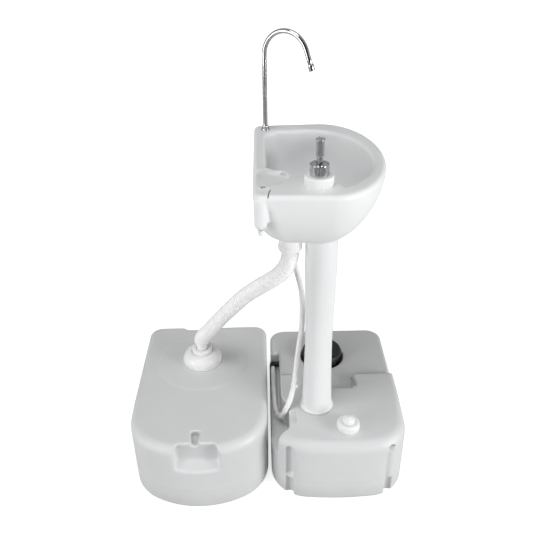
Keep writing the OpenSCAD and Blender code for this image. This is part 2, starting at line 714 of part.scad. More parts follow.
union_top_z = adapter_z + 13;

module union_nut() color("white") translate(place) translate([union_x, union_y, 0]) {
    r_in = grey_bore_r + neck_wall + 0.8 + fit_gap;
    r_lip = 31;
    difference() {
        union() {
            rotate_extrude() polygon(concat(
                [[0, grey_h + 1.5], [union_nut_r - 2, grey_h + 1.5], [union_nut_r, grey_h + 4]],
                [for (i = [0 : 8]) let (a = 90 * i / 8)
                    [r_lip + 4 + (union_nut_r - r_lip - 4) * cos(a),
                     grey_h + 12 + (union_top_z - grey_h - 12) * sin(a)]],
                [[r_lip, union_top_z - 1], [0, union_top_z - 1]]));
            grip_ribs(48, union_nut_r - 0.8, 1.6, grey_h + 3, grey_h + 14);
        }
        disc(r_in, grey_h, adapter_z + 4 + run_gap);
        disc(r_lip - 1, grey_h, union_top_z + 5);
    }
}

// Supply hose and its fittings ------------------------------------------------------------

elbow_r = 6.5;
pump_base_r = 50;

elbow_x = 13;
barb_z = post_z - 23;

// Route of the supply hose's middle line, from the spout's tail to the elbow in the slot:
// X, Y and the share of the height between the two
supply_places = [
    [spout_x, spout_y, 1], [spout_x, spout_y, 0.977], [spout_x, spout_y, 0.954], [7, 102, 0.914],
    [16, 92, 0.875], [28, 78, 0.837], [41, 63, 0.8], [52, 50, 0.763], [63, 37, 0.708],
    [71, 27, 0.657], [79, 17, 0.601], [82, 6, 0.545], [82, -4, 0.489], [80, -15, 0.432],
    [75, -25, 0.376], [70, -36, 0.316], [66, -47, 0.258], [61, -58, 0.197], [53, -69, 0.144],
    [43, -76, 0.098], [34, -74, 0.058], [26, -62, 0.026], [21, -42, 0.007], [17, -16, 0],
    [15, 12, 0], [14, 40, 0], [13, 70, 0], [elbow_x, 98, 0], [elbow_x, 114, 0], [elbow_x, 127, 0],
    [elbow_x, 140, 0]
];
supply_route = [for (p = supply_places) [p[0], p[1], elbow_z + p[2] * (barb_z - elbow_z)]];

module supply_hose() color("white") translate(place) tube_along(supply_route, supply_d / 2, 10, [1, 0, 0]);

// Cable tie round the hose at a point of its route: a band, a head and a cut tail
module hose_tie(i) {
    t = tangent(supply_route, i);
    translate(supply_route[i]) rotate([0, acos(t[2]), atan2(t[1], t[0])]) {
        ring(supply_d / 2 + 1.3, supply_d / 2 + 0.1, -2.2, 2.2);
        translate([0, supply_d / 2 + 2.6, 0]) cube([6, 4, 6], center = true);
        translate([3, supply_d / 2 + 1.6, -2]) cube([9, 1.4, 4]);
    }
}

module upper_tie() color("white") translate(place) hose_tie(8);
module lower_tie() color("white") translate(place) hose_tie(17);

module hose_elbow() color("black") translate(place) {
    difference() {
        union() {
            translate([elbow_x, 140, elbow_z]) rotate([-90, 0, 0]) cylinder(r = elbow_r, h = elbow_y - 140);
            translate([elbow_x, 140.5, elbow_z]) rotate([-90, 0, 0]) cylinder(r = elbow_r + 1.6, h = 6);
            translate([elbow_x, elbow_y, elbow_z]) sphere(r = elbow_r);
            translate([elbow_x, elbow_y, elbow_z]) rotate([0, 90, 0]) cylinder(r = elbow_r, h = 34);
            translate([slot_x1 - 4.3, elbow_y, elbow_z]) rotate([0, 90, 0])
                cylinder(r = elbow_r + 2, h = 4);
        }
        translate([elbow_x, 139, elbow_z]) rotate([-90, 0, 0]) cylinder(r = 3.5, h = elbow_y - 139);
        translate([elbow_x, elbow_y, elbow_z]) rotate([0, 90, 0]) cylinder(r = 3.5, h = 35);
    }
}

module elbow_seal() color("black") translate(place)
    translate([slot_x1 + tank_wall, elbow_y, elbow_z]) rotate([0, 90, 0])
        ring(elbow_r + 3, elbow_r + run_gap, 0, 3);

tube_x0 = elbow_x + 34;
tube_x1 = pump_x - pump_base_r - 12;

// Rigid delivery tube inside the tank, from the pump's port up to the elbow
delivery_route = concat(
    [[tube_x0, elbow_y, elbow_z]],
    [for (i = [0 : 10]) let (k = i / 10, s = (1 - cos(180 * k)) / 2)
        [tube_x0 + 4 + (tube_x1 - tube_x0 - 8) * k, elbow_y, elbow_z + (port_z - elbow_z) * s]],
    [[tube_x1, elbow_y, port_z]]);

module delivery_tube() color("silver") translate(place) tube_along(delivery_route, elbow_r, 10, [0, 1, 0]);

// Foot pump -------------------------------------------------------------------------------

base_tail_r = 14;
base_h = 22;
guide_r = 10;
cavity_r = 38;

module pump_base() color("dimgray") translate(place) translate([pump_x, pump_y, 0]) {
    z0 = well_floor_z;
    difference() {
        union() {
            disc(pump_base_r, z0, z0 + base_h);
            disc(base_tail_r, z0 - 24, z0 + 1);
            translate([-pump_base_r - 12, 0, port_z]) rotate([0, 90, 0]) cylinder(r = elbow_r, h = 16);
        }
        ring(cavity_r, guide_r + 4, z0 + 5, z0 + base_h + 1);
        disc(guide_r + run_gap, z0 + 5, z0 + base_h + 20);
        disc(6, z0 - 25, z0 + 10);
        translate([-pump_base_r - 13, 0, port_z]) rotate([0, 90, 0]) cylinder(r = 3.5, h = 28);
        for (i = [0 : 3]) rotate(45 + 90 * i) translate([0, 0, z0 + 8]) rotate([0, 90, 0])
            cylinder(r = 2.5, h = 20);
    }
    // flange ring that the bellows clips over
    ring(pump_base_r, cavity_r, z0 + base_h - 1, z0 + base_h + 1);
}

module pump_bellows() color("black") translate(place) translate([pump_x, pump_y, 0]) {
    z0 = well_floor_z + base_h + 1;
    z1 = pedal_under_z;
    folds = 4;
    pitch = (z1 - z0) / folds;
    rotate_extrude() polygon(concat(
        [for (i = [0 : folds - 1], k = [0, 1]) [k == 0 ? 41 : 47, z0 + pitch * (i + k / 2)]],
        [[41, z1]], [[39.4, z1]],
        [for (i = [folds - 1 : -1 : 0], k = [1, 0]) [k == 0 ? 39.4 : 45.4, z0 + pitch * (i + k / 2)]]));
}

module pump_spring() color("silver") translate(place) translate([pump_x, pump_y, 0])
    coil(7, 22, 1.6, well_floor_z + 5, pedal_under_z);

pedal_t = 8;
pedal_under_z = pedal_top_z - pedal_t;

module foot_pedal() color([0.12, 0.12, 0.12]) translate(place) translate([pump_x, pump_y, 0]) {
    skirt = 10;
    difference() {
        rotate_extrude() polygon(concat(
            [[0, pedal_under_z], [pedal_r - 4, pedal_under_z], [pedal_r - 4, pedal_under_z - skirt],
             [pedal_r, pedal_under_z - skirt]],
            [for (i = [0 : 6]) let (a = 90 * i / 6)
                [pedal_r - 9 + 9 * cos(a), pedal_top_z - 11 + 7 * sin(a)]],
            [[pedal_r * 0.5, pedal_top_z - 1], [0, pedal_top_z]]));
    }
    // guide stem and the raised grip nubs
    disc(guide_r, well_floor_z + 10 + pedal_travel, pedal_under_z + 1);
    for (k = [0 : 3]) for (i = [0 : 6 * (k + 1) - 1]) rotate(360 * i / (6 * (k + 1)))
        translate([11 * (k + 1), 0, pedal_top_z - 4 - k * 0.3]) cylinder(r = 2.2, h = 4.6, $fn = 16);
}

module inlet_valve() color("black") translate(place) translate([pump_x, pump_y, 0])
    disc(guide_r - 1, well_floor_z + 5.3, well_floor_z + 7);

module outlet_valve() color("black") translate(place)
    translate([pump_x - pump_base_r - 12 + 0.5, pump_y, port_z]) rotate([0, 90, 0]) disc(3.2, 2, 3.5);

module pump_lock_nut() color("dimgray") translate(place) translate([pump_x, pump_y, 0])
    difference() {
        union() {
            ring(24, base_tail_r + run_gap, well_floor_z - tank_wall - 9, well_floor_z - tank_wall);
            for (i = [0 : 5]) rotate(60 * i) translate([24, 0, well_floor_z - tank_wall - 9])
                cylinder(r = 2.5, h = 9, $fn = 16);
        }
        disc(base_tail_r + run_gap, well_floor_z - 30, well_floor_z);
    }

module suction_tube() color("silver") translate(place) translate([pump_x, pump_y, 0])
    ring(8, 5.5, 24, well_floor_z - 24);

module suction_strainer() color("dimgray") translate(place) translate([pump_x, pump_y, 0]) {
    difference() {
        disc(12, 10, 32);
        disc(8 + run_gap, 24, 33);
        disc(9, 12, 22);
        disc(5, 20, 25);
        for (i = [0 : 7]) rotate(45 * i) translate([6, -1.2, 13]) cube([9, 2.4, 8]);
    }
}

// Filler cap ------------------------------------------------------------------------------

filler_top_z = fresh_h + filler_neck_h;

module filler_cap() color("white") translate(place) translate([filler_x, filler_y, 0]) {
    r_in = filler_bore_r + neck_wall + 0.8 + fit_gap;
    difference() {
        union() {
            disc(filler_cap_r, fresh_h + 1.5, fresh_h + 12);
            disc(filler_cap_r - 1.5, fresh_h + 12, filler_top_z + 3.5);
            grip_ribs(30, filler_cap_r - 1, 1.4, fresh_h + 2.5, fresh_h + 13);
        }
        disc(r_in, fresh_h, filler_top_z + 1.5);
        disc(6 + run_gap, filler_top_z, filler_top_z + 10);
    }
}

module filler_gasket() color("dimgray") translate(place) translate([filler_x, filler_y, 0])
    ring(filler_bore_r + neck_wall - 0.5, filler_bore_r, filler_top_z, filler_top_z + 1.5);

module vent_knob() color("white") translate(place) translate([filler_x, filler_y, 0]) {
    z0 = filler_top_z + 3.5;
    difference() {
        union() {
            disc(6, filler_top_z + 0.8, z0 + 1);
            disc(15.6, z0, z0 + 4.5);
            grip_ribs(20, 15, 1, z0 + 0.5, z0 + 4);
            rotate_extrude() polygon([[0, z0 + 3.5], [12.5, z0 + 3.5], [12.5, z0 + 5.5], [10.6, z0 + 10.5],
                [5.4, z0 + 11.5], [5, z0 + 14.5], [0, z0 + 14.5]]);
        }
        disc(1.3, filler_top_z - 5, z0 + 16);
    }
}

// Spout -----------------------------------------------------------------------------------

shank_r = 5.5;
flange_h = 5;
socket_r = spout_r - spout_wall;

module spout_frame() {
    translate([spout_x, spout_y, rim_z]) rotate(spout_azimuth) children();
}

// The gooseneck: stem, arc and straight end, as a body of radius r
module gooseneck(r, z0) {
    disc(r, z0, spout_stem_h);
    translate([0, 0, spout_stem_h]) sphere(r = r + 0.05);
    translate([spout_arc_r, 0, spout_stem_h]) rotate([90, 0, 0]) rotate([0, 0, 180 - spout_turn])
        rotate_extrude(angle = spout_turn) translate([spout_arc_r, 0]) circle(r);
    translate([spout_arc_r, 0, spout_stem_h]) rotate([0, spout_turn, 0]) translate([-spout_arc_r, 0, 0])
        cylinder(r = r, h = spout_end);
}

module faucet_spout() color("silver") translate(place) spout_frame() difference() {
    union() {
        gooseneck(spout_r, flange_h + 0.3);
        disc(spout_r + 1.6, flange_h + 0.3, flange_h + 5);
    }
    gooseneck(socket_r, flange_h - 1);
    translate([spout_arc_r, 0, spout_stem_h]) rotate([0, spout_turn, 0])
        translate([-spout_arc_r, 0, spout_end - 1]) cylinder(r = socket_r, h = 3);
}

module aerator() color("silver") translate(place) spout_frame()
    translate([spout_arc_r, 0, spout_stem_h]) rotate([0, spout_turn, 0])
    translate([-spout_arc_r, 0, spout_end]) {
        difference() {
            union() {
                cylinder(r = spout_r + 1.2, h = 13);
                translate([0, 0, 2]) cylinder(r = spout_r + 1.6, h = 3);
            }
            translate([0, 0, 4]) cylinder(r = spout_r - 0.6, h = 12);
            translate([0, 0, -1]) cylinder(r = 2.5, h = 8);
        }
    }

module faucet_flange() color("silver") translate(place) translate([spout_x, spout_y, rim_z])
    difference() {
        union() {
            disc(10, 0, 2.4);
            disc(8.5, 2.4, flange_h);
        }
        disc(shank_r + run_gap, -1, flange_h + 1);
    }

module faucet_oring() color("black") translate(place) translate([spout_x, spout_y, rim_z])
    ring(socket_r - run_gap, 2.7, flange_h + 9.2, flange_h + 11);

// Threaded shank through the corner post, with the swivel pin that the spout turns on
module faucet_shank() color("silver") translate(place) translate([spout_x, spout_y, 0]) {
    difference() {
        union() {
            disc(shank_r, post_z - 20, rim_z + flange_h);
            disc(socket_r - run_gap, rim_z + flange_h, rim_z + flange_h + 9.2);
            disc(2.7, rim_z + flange_h, rim_z + flange_h + 11);
            disc(socket_r - run_gap, rim_z + flange_h + 11, rim_z + flange_h + 15);
        }
        disc(1.7, post_z - 21, rim_z + flange_h + 16);
    }
}

module shank_nut() color("white") translate(place) translate([spout_x, spout_y, 0])
    difference() {
        union() {
            disc(11, post_z - 8, post_z);
            for (i = [0 : 5]) rotate(60 * i) translate([10.5, 0, post_z - 7])
                cylinder(r = 2, h = 7, $fn = 16);
        }
        disc(shank_r + run_gap, post_z - 9, post_z + 1);
    }

module hose_barb() color("white") translate(place) translate([spout_x, spout_y, 0])
    difference() {
        union() {
            disc(8.5, post_z - 18, post_z - 8);
            disc(supply_d / 2 + 0.8, barb_z, post_z - 17);
        }
        disc(shank_r + run_gap, post_z - 20, post_z);
        disc(2.6, barb_z - 1, post_z);
    }

module corner_plug() color("whitesmoke") translate(place)
    translate([rib_x, basin_mid_y - rib_y, rib_end_z - 12]) {
        rotate([180, 0, 0]) cylinder(r = 5, h = 7);
        translate([0, 0, -7]) sphere(r = 5);
    }

// Soap dispenser --------------------------------------------------------------------------

collar_h = 18.5;
shroud_h = 21;
shroud_r = 17.4;
head_h = 44.5;
soap_neck_r = 14;
cylinder_r = 9;
piston_r = 7;
pump_seat_z = rim_z - 44;

module soap_bottle() color("white") translate(place) translate([soap_x, soap_y, 0])
    difference() {
        union() {
            disc(bottle_r, rim_z - bottle_depth, rim_z);
            disc(soap_collar_r - 1, rim_z, rim_z + 2);
            disc(soap_neck_r, rim_z, rim_z + collar_h - 3);
        }
        disc(bottle_r - 2, rim_z - bottle_depth + 2, rim_z - 3);
        disc(soap_neck_r - 2, rim_z - 4, rim_z + collar_h);
    }

module soap_collar() color("white") translate(place) translate([soap_x, soap_y, 0])
    difference() {
        union() {
            disc(soap_collar_r, rim_z + 2, rim_z + collar_h - 1);
            disc(soap_collar_r - 1, rim_z + collar_h - 1, rim_z + collar_h);
            grip_ribs(40, soap_collar_r - 0.3, 0.9, rim_z + 3, rim_z + collar_h - 1.5);
        }
        disc(soap_neck_r + fit_gap, rim_z + 1, rim_z + collar_h - 3 + fit_gap);
        disc(cylinder_r + run_gap, rim_z, rim_z + collar_h + 1);
    }

module soap_shroud() color("silver") translate(place) translate([soap_x, soap_y, rim_z + collar_h])
    difference() {
        rotate_extrude() polygon([[0, 0], [shroud_r, 0], [shroud_r, shroud_h - 1.5],
            [shroud_r - 1.2, shroud_h], [shroud_r - 2.8, shroud_h],
            [shroud_r - 4, shroud_h - 2], [0, shroud_h - 2]]);
        disc(cylinder_r + 1.2, -1, 3);
        disc(6 + run_gap, -1, shroud_h + 1);
    }

module soap_cylinder() color("white") translate(place) translate([soap_x, soap_y, 0])
    difference() {
        union() {
            disc(cylinder_r, pump_seat_z, rim_z + collar_h);
            disc(cylinder_r + 1, rim_z + collar_h, rim_z + collar_h + 2);
            disc(4, pump_seat_z - 6, pump_seat_z + 1);
        }
        disc(piston_r + run_gap, pump_seat_z + 4, rim_z + collar_h + 3);
        disc(1.6, pump_seat_z - 7, pump_seat_z + 5);
    }

module check_ball() color("silver") translate(place)
    translate([soap_x, soap_y, pump_seat_z + 4 + 2.1]) sphere(r = 2.6);

module soap_spring() color("silver") translate(place) translate([soap_x, soap_y, 0])
    coil(5, 5, 0.7, pump_seat_z + 4, piston_z);

piston_z = pump_seat_z + 24;

module soap_plunger() color("white") translate(place) translate([soap_x, soap_y, 0]) {
    disc(piston_r, piston_z, piston_z + 8);
    disc(3, piston_z + 7, head_z + 12);
}

head_z = rim_z + collar_h + shroud_h;

module soap_head() color("silver") translate(place) translate([soap_x, soap_y, 0])
    difference() {
        union() {
            disc(6, head_z - 12, head_z + 16);
            rotate_extrude() polygon([[0, head_z + 10.5], [6, head_z + 10.5], [7.5, head_z + 15.5],
                [7.5, head_z + head_h - 1], [0, head_z + head_h - 1]]);
            disc(8.6, head_z + head_h - 2.5, head_z + head_h);
            translate([0, 0, head_z + head_h - 4.8]) rotate([-90, 0, 0]) cylinder(r = 2.2, h = 22);
        }
        disc(3 + run_gap, head_z - 13, head_z + 12 + fit_gap);
        translate([0, 0, head_z + head_h - 4.8]) rotate([-90, 0, 0]) cylinder(r = 1.3, h = 23);
    }

module dip_tube() color("white") translate(place) translate([soap_x, soap_y, 0])
    ring(2.6, 1.6, rim_z - bottle_depth + 5, pump_seat_z - 6);

fresh_tank();
grey_tank();
column();
basin();
filler_cap();
filler_gasket();
vent_knob();
union_nut();
union_gasket();
hose_adapter();
drain_hose();
drain_nut();
drain_strainer();
drain_gasket();
supply_hose();
upper_tie();
lower_tie();
hose_elbow();
elbow_seal();
delivery_tube();
pump_base();
pump_bellows();
pump_spring();
foot_pedal();
inlet_valve();
outlet_valve();
pump_lock_nut();
suction_tube();
suction_strainer();
faucet_spout();
aerator();
faucet_flange();
faucet_oring();
faucet_shank();
shank_nut();
hose_barb();
corner_plug();
soap_bottle();
soap_collar();
soap_shroud();
soap_cylinder();
soap_spring();
check_ball();
dip_tube();
soap_plunger();
soap_head();
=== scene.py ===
# %% [markdown]
# # A camp wash stand
# Two moulded tanks stand side by side on the floor. A column plugs into the right one and
# carries a D-shaped basin with a gooseneck spout and a soap dispenser. The rigid model comes
# first, as a frame: every piece below is placed in that frame, with +Z up, +X towards the
# basin's curved front and +Y towards the foot pump. Forms are drawn in millimetres about the
# middle of the gap between the tanks, and a finished piece moves from there to its place.

# %% Load the rigid frame
import json
import math

import bmesh
import bpy
import numpy as np
from mathutils import Matrix, Vector


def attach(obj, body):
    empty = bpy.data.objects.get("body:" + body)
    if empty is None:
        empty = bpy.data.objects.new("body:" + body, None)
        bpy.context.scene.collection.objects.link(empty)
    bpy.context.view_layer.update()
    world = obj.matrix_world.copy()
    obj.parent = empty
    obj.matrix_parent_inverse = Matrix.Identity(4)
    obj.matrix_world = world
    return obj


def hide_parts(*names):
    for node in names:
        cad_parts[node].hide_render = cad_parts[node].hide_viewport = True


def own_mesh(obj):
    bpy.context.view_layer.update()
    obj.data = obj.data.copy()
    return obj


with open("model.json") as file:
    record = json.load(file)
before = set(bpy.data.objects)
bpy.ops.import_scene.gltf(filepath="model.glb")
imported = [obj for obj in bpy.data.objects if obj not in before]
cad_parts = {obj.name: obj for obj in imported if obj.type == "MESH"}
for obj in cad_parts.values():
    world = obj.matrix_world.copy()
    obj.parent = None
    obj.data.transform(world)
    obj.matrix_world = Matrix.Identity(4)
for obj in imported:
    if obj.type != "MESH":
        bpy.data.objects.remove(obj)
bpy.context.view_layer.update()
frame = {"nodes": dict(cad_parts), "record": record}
nodes = frame["nodes"]
MM = 0.001

# %% [markdown]
# ## The camera
# A product photograph is taken from standing height, a good metre away. The view looks down
# by about 31 degrees, and the horizon is turned by one degree. The lens is given as the one
# whose picture angle makes the near tank faces and the rim come out at their photographed size.

# %% Camera
LENS_MM, SENSOR_MM = 42.55, 36.0
camera_data = bpy.data.cameras.new("camera")
camera_data.lens, camera_data.sensor_width = LENS_MM, SENSOR_MM
camera = bpy.data.objects.new("camera", camera_data)
bpy.context.scene.collection.objects.link(camera)
tilt = Matrix.Rotation(math.radians(90 - 31), 4, "X") @ Matrix.Rotation(math.radians(-1), 4, "Z")
camera.matrix_world = Matrix.Translation((0.0035, -1.2302, 1.270)) @ tilt
bpy.context.scene.camera = camera
print("camera at", [round(v, 3) for v in camera.location])

# %% [markdown]
# ## Helpers for modelling
# Most forms here are blow-moulded: an outline seen from above that changes with height. Such
# a form starts as a circle that is filled and pulled up level by level, and each level's
# points are then pushed out to that level's outline. Blow-moulded plastic has no sharp edges,
# so after its recesses are cut, the skin is remeshed finely and relaxed, as the melt would.


# %% Modelling helpers
def deselect():
    """Leave edit mode and select nothing."""
    if bpy.context.object and bpy.context.object.mode != "OBJECT":
        bpy.ops.object.mode_set(mode="OBJECT")
    bpy.ops.object.select_all(action="DESELECT")


def only(piece):
    """Make one object the selected and active one."""
    deselect()
    piece.select_set(True)
    bpy.context.view_layer.objects.active = piece
    return piece


def lofted(name, rings):
    """A closed solid through a stack of rings, each with the same number of points, in mm."""
    deselect()
    count = len(rings[0])
    bpy.ops.mesh.primitive_circle_add(vertices=count, radius=1.0, fill_type="NGON")
    piece = bpy.context.object
    piece.name = name
    bpy.ops.object.mode_set(mode="EDIT")
    bpy.ops.mesh.select_all(action="SELECT")
    for _ in rings[1:]:
        bpy.ops.mesh.extrude_region_move(TRANSFORM_OT_translate={"value": (0, 0, 1)})
    bpy.ops.object.mode_set(mode="OBJECT")
    first = {}
    for vertex in piece.data.vertices:
        angle = math.atan2(vertex.co.y, vertex.co.x) % (2 * math.pi)
        first[vertex.index] = (round(vertex.co.z), round(angle * count / (2 * math.pi)) % count)
    for vertex in piece.data.vertices:
        level, place = first[vertex.index]
        vertex.co = [MM * value for value in rings[level][place]]
    return face_outwards(piece)


def edit_all(piece):
    """Open a piece in edit mode with everything selected."""
    only(piece)
    bpy.ops.object.mode_set(mode="EDIT")
    bpy.ops.mesh.select_all(action="SELECT")


def face_outwards(piece):
    """Merge doubled points and turn every face outwards."""
    edit_all(piece)
    bpy.ops.mesh.remove_doubles(threshold=1e-6)
    bpy.ops.mesh.normals_make_consistent(inside=False)
    bpy.ops.object.mode_set(mode="OBJECT")
    return piece


def modifier(piece, kind, **settings):
    """Add a modifier with its settings and apply it."""
    only(piece)
    added = piece.modifiers.new(kind.lower(), kind)
    for key, value in settings.items():
        setattr(added, key, value)
    bpy.ops.object.modifier_apply(modifier=added.name)
    return piece


def boolean(piece, cutter, operation="DIFFERENCE"):
    """Cut or add one closed solid, and clear the tool away."""
    modifier(piece, "BOOLEAN", object=cutter, operation=operation, solver="EXACT")
    bpy.data.objects.remove(cutter)
    return piece


def rod(name, radius, low, high, at=(0, 0), sides=64, edge=0.0):
    """An upright round bar or disc in mm, with rounded rims where edge is given."""
    deselect()
    bpy.ops.mesh.primitive_cylinder_add(
        vertices=sides, radius=radius * MM, depth=(high - low) * MM,
        location=(at[0] * MM, at[1] * MM, (low + high) / 2 * MM))
    piece = bpy.context.object
    piece.name = name
    bpy.ops.object.transform_apply(location=True, rotation=True, scale=True)
    if edge:
        modifier(piece, "BEVEL", width=edge * MM, segments=4, limit_method="ANGLE",
                 angle_limit=math.radians(50))
    return piece


def ball(name, radius, at, segments):
    """A ball in mm."""
    deselect()
    bpy.ops.mesh.primitive_uv_sphere_add(segments=segments, ring_count=segments // 2, radius=radius * MM,
                                         location=[value * MM for value in at])
    piece = bpy.context.object
    piece.name = name
    bpy.ops.object.transform_apply(location=True, rotation=False, scale=False)
    return piece


def block(name, low, high, edge=0.0):
    """A box between two corners in mm, with rounded edges where edge is given."""
    deselect()
    size = [(b - a) * MM for a, b in zip(low, high)]
    bpy.ops.mesh.primitive_cube_add(size=1, location=[(a + b) / 2 * MM for a, b in zip(low, high)])
    piece = bpy.context.object
    piece.name = name
    piece.scale = size
    bpy.ops.object.transform_apply(location=True, rotation=True, scale=True)
    if edge:
        modifier(piece, "BEVEL", width=edge * MM, segments=4, limit_method="ANGLE")
    return piece


def prism(name, outline, low, high):
    """An upright prism over an outline in mm."""
    return lofted(name, [[(x, y, z) for x, y in outline] for z in (low, high)])


def join(name, pieces):
    """Join several objects into the first one."""
    deselect()
    for piece in pieces:
        piece.select_set(True)
    bpy.context.view_layer.objects.active = pieces[0]
    bpy.ops.object.join()
    pieces[0].name = name
    return pieces[0]


def soften(piece, voxel, relax):
    """Remesh a moulded form at a voxel size in mm and relax its edges."""
    modifier(piece, "REMESH", mode="VOXEL", voxel_size=voxel * MM, use_smooth_shade=True)
    modifier(piece, "SMOOTH", factor=0.5, iterations=relax)
    return piece


def tube(name, line, radii, sides, ref, bore=()):
    """A tube of the given radius at each point of a line, in metres, rolled from a grid.

    bore lists (index on the line, radius) from the far end back to the near one.
    """
    line = np.array(line, float)
    ahead = np.vstack([line[1:], line[-1:]]) - np.vstack([line[:1], line[:-1]])
    ahead /= np.linalg.norm(ahead, axis=1, keepdims=True)
    side = np.cross(np.array(ref, float), ahead)
    side /= np.linalg.norm(side, axis=1, keepdims=True)
    up = np.cross(ahead, side)
    rings = list(enumerate(radii)) + list(bore) + ([(0, radii[0])] if bore else [])
    at = np.array([k for k, _ in rings])
    width = np.array([r for _, r in rings], float)[:, None, None]
    angle = np.arange(sides + 1) * 2 * math.pi / sides
    points = line[at][:, None, :] + width * (np.cos(angle)[None, :, None] * side[at][:, None, :]
                                             + np.sin(angle)[None, :, None] * up[at][:, None, :])
    deselect()
    bpy.ops.mesh.primitive_grid_add(x_subdivisions=sides, y_subdivisions=len(rings) - 1, size=1)
    piece = bpy.context.object
    piece.name = name
    piece.data.vertices.foreach_set("co", points.reshape(-1))
    piece.data.update()
    return piece


PLACE = Vector((3.5, -18.15, 0)) * MM
dressed = []


def finished(piece, name, body, slot, stands_for=(), smooth=35):
    """Move a finished piece to its place, name and shade it, and let it ride on its body."""
    only(piece)
    piece.data.transform(Matrix.Translation(PLACE))
    piece.name = name
    piece.data.name = name
    bpy.ops.object.shade_smooth_by_angle(angle=math.radians(smooth))
    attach(piece, body)
    if stands_for:
        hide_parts(*stands_for)
    dressed.append((piece, slot))
    print(name, "faces:", len(piece.data.polygons), "rides on", body)
    return piece


# %% [markdown]
# ## Shared places and heights
# Several pieces meet on the same upright axis: the spout, its bore and its hose, or the column,
# its socket and the boss above it. Each axis is named once, in mm as seen from above, and so
# are the decks of the tanks and the rim. Tools that cut from above end clear of both tanks.

# %% Shared places and heights
COLUMN_AT, DRAIN_AT, SPOUT_AT = (117, -56), (50, -56), (3, 107)
SOAP_AT, SPARE_AT = (95, -190), (-4, -200)
PUMP_AT, FILLER_AT, UNION_AT = (148, 156), (186, -136), (-174, 108)
PLATE_Z, FRESH_Z, GREY_Z, RIM_Z = 158, 178, 188, 822.0
CLEAR_Z = 215


def gradual(value, start, run):
    """0 up to start, 1 from start + run on, and straight in between."""
    return max(0, min(1, (value - start) / run))


print("rim", RIM_Z, "foot plate", PLATE_Z, "tank tops", FRESH_Z, GREY_Z)

# %% [markdown]
# ## The hoses
# A hose keeps its length, so its middle line comes first. The drain hose is a ribbed
# polypropylene hose, 38 mm wide, that leaves the nut under the basin straight down, swings out
# and ends in a plain cuff in the recovery tank's adapter. The supply hose is a plain 13 mm PVC
# hose from the spout's tail down beside the column into the tank's slot. Both lines are smooth
# curves through a few chosen points.

# %% Middle lines of the hoses
DRAIN_ROUTE = [
    (50, -56, 640), (50, -56, 627), (50, -56, 614), (50, -56, 601), (44, -54, 577), (31, -48, 553),
    (13, -37, 531), (-8, -22, 508), (-30, -6, 483), (-51, 10, 457), (-71, 25, 428), (-91, 40, 398),
    (-111, 56, 366), (-130, 71, 335), (-148, 86, 304), (-162, 98, 282), (-171, 106, 266),
    (-174, 108, 250), (-174, 108, 238), (-174, 108, 224)]
SUPPLY_ROUTE = [
    (3, 107, 699), (3, 107, 686), (3, 107, 673), (7, 102, 650), (16, 92, 628), (28, 78, 606),
    (41, 63, 585), (52, 50, 564), (63, 37, 533), (71, 27, 504), (79, 17, 472), (82, 6, 440),
    (82, -4, 408), (80, -15, 376), (75, -25, 344), (70, -36, 310), (66, -47, 277), (61, -58, 242),
    (53, -69, 212), (43, -76, 186), (34, -74, 163), (26, -62, 145), (21, -42, 134), (17, -16, 130),
    (15, 12, 130), (14, 40, 130), (13, 70, 130), (13, 98, 130), (13, 114, 130), (13, 127, 130),
    (13, 140, 130)]


def curve_through(points, steps):
    """Points in metres on a smooth curve through points in mm."""
    points = [Vector(p) * MM for p in points]
    last = len(points) - 1
    line = []
    for k in range(steps + 1):
        t = last * k / steps
        i = min(int(t), last - 1)
        u = t - i
        a, b = points[max(i - 1, 0)], points[i]
        c, d = points[i + 1], points[min(i + 2, last)]
        line.append(0.5 * (2 * b + (c - a) * u + (2 * a - 5 * b + 4 * c - d) * u ** 2
                           + (3 * b - a - 3 * c + d) * u ** 3))
    return line


def length_of(line):
    """Length of a line of points."""
    return sum((b - a).length for a, b in zip(line, line[1:]))


# %% Drain hose
RIBS, RIB_STEPS = 100, 6
drain_line = curve_through(DRAIN_ROUTE, RIBS * RIB_STEPS)
cuff_from = int(len(drain_line) * 0.895)
drain_radii = []
for k in range(len(drain_line)):
    wave = 0.5 + 0.5 * math.cos(2 * math.pi * k / RIB_STEPS)
    ribbed = 17.4 + 1.6 * wave ** 0.7
    plain = 14.4 + (0.5 if k > len(drain_line) - 8 else 0)
    drain_radii.append(MM * (ribbed if k < cuff_from else plain))
last = len(drain_line) - 1
drain_bore = [(k, MM * (12 if k >= cuff_from else 14.5)) for k in range(last, -1, -6)]
drain_hose = tube("drain_hose_skin", drain_line, drain_radii, 40, (164, 227, 0), drain_bore)
face_outwards(drain_hose)
finished(drain_hose, "ribbed_drain_hose", "stand", "white_plastic", ["drain_hose"], smooth=60)
print("drain hose length in m:", round(length_of(drain_line), 3))

# %% Supply hose
supply_line = curve_through(SUPPLY_ROUTE, 240)
supply_hose = tube("supply_hose_skin", supply_line, [6.5 * MM] * len(supply_line), 28, (1, 0, 0),
                   [(k, 4 * MM) for k in range(len(supply_line) - 1, -1, -4)])
face_outwards(supply_hose)
finished(supply_hose, "supply_hose_pvc", "stand", "white_plastic", ["supply_hose"], smooth=60)
print("supply hose length in m:", round(length_of(supply_line), 3))

# %% [markdown]
# ## The basin
# The basin is one rotomoulded polyethylene form. Its belly is a D that shrinks with depth
# along a superellipse, and the bowl is a second, smaller D inside it. Both are lofts of the
# same outline. The soap ledge is left standing when the bowl is cut.

# %% Outlines of the basin
BELLY_X, BELLY_Y, BELLY_Z = 88.5, -46.5, 661.0
BELLY_BACK, BELLY_FRONT, BELLY_HALF = 111, 146, 194.5
BOWL_X, BOWL_Y, BOWL_Z = 50.0, -56.0, 676.0
BOWL_BACK, BOWL_FRONT, BOWL_HALF = 48, 157, 158


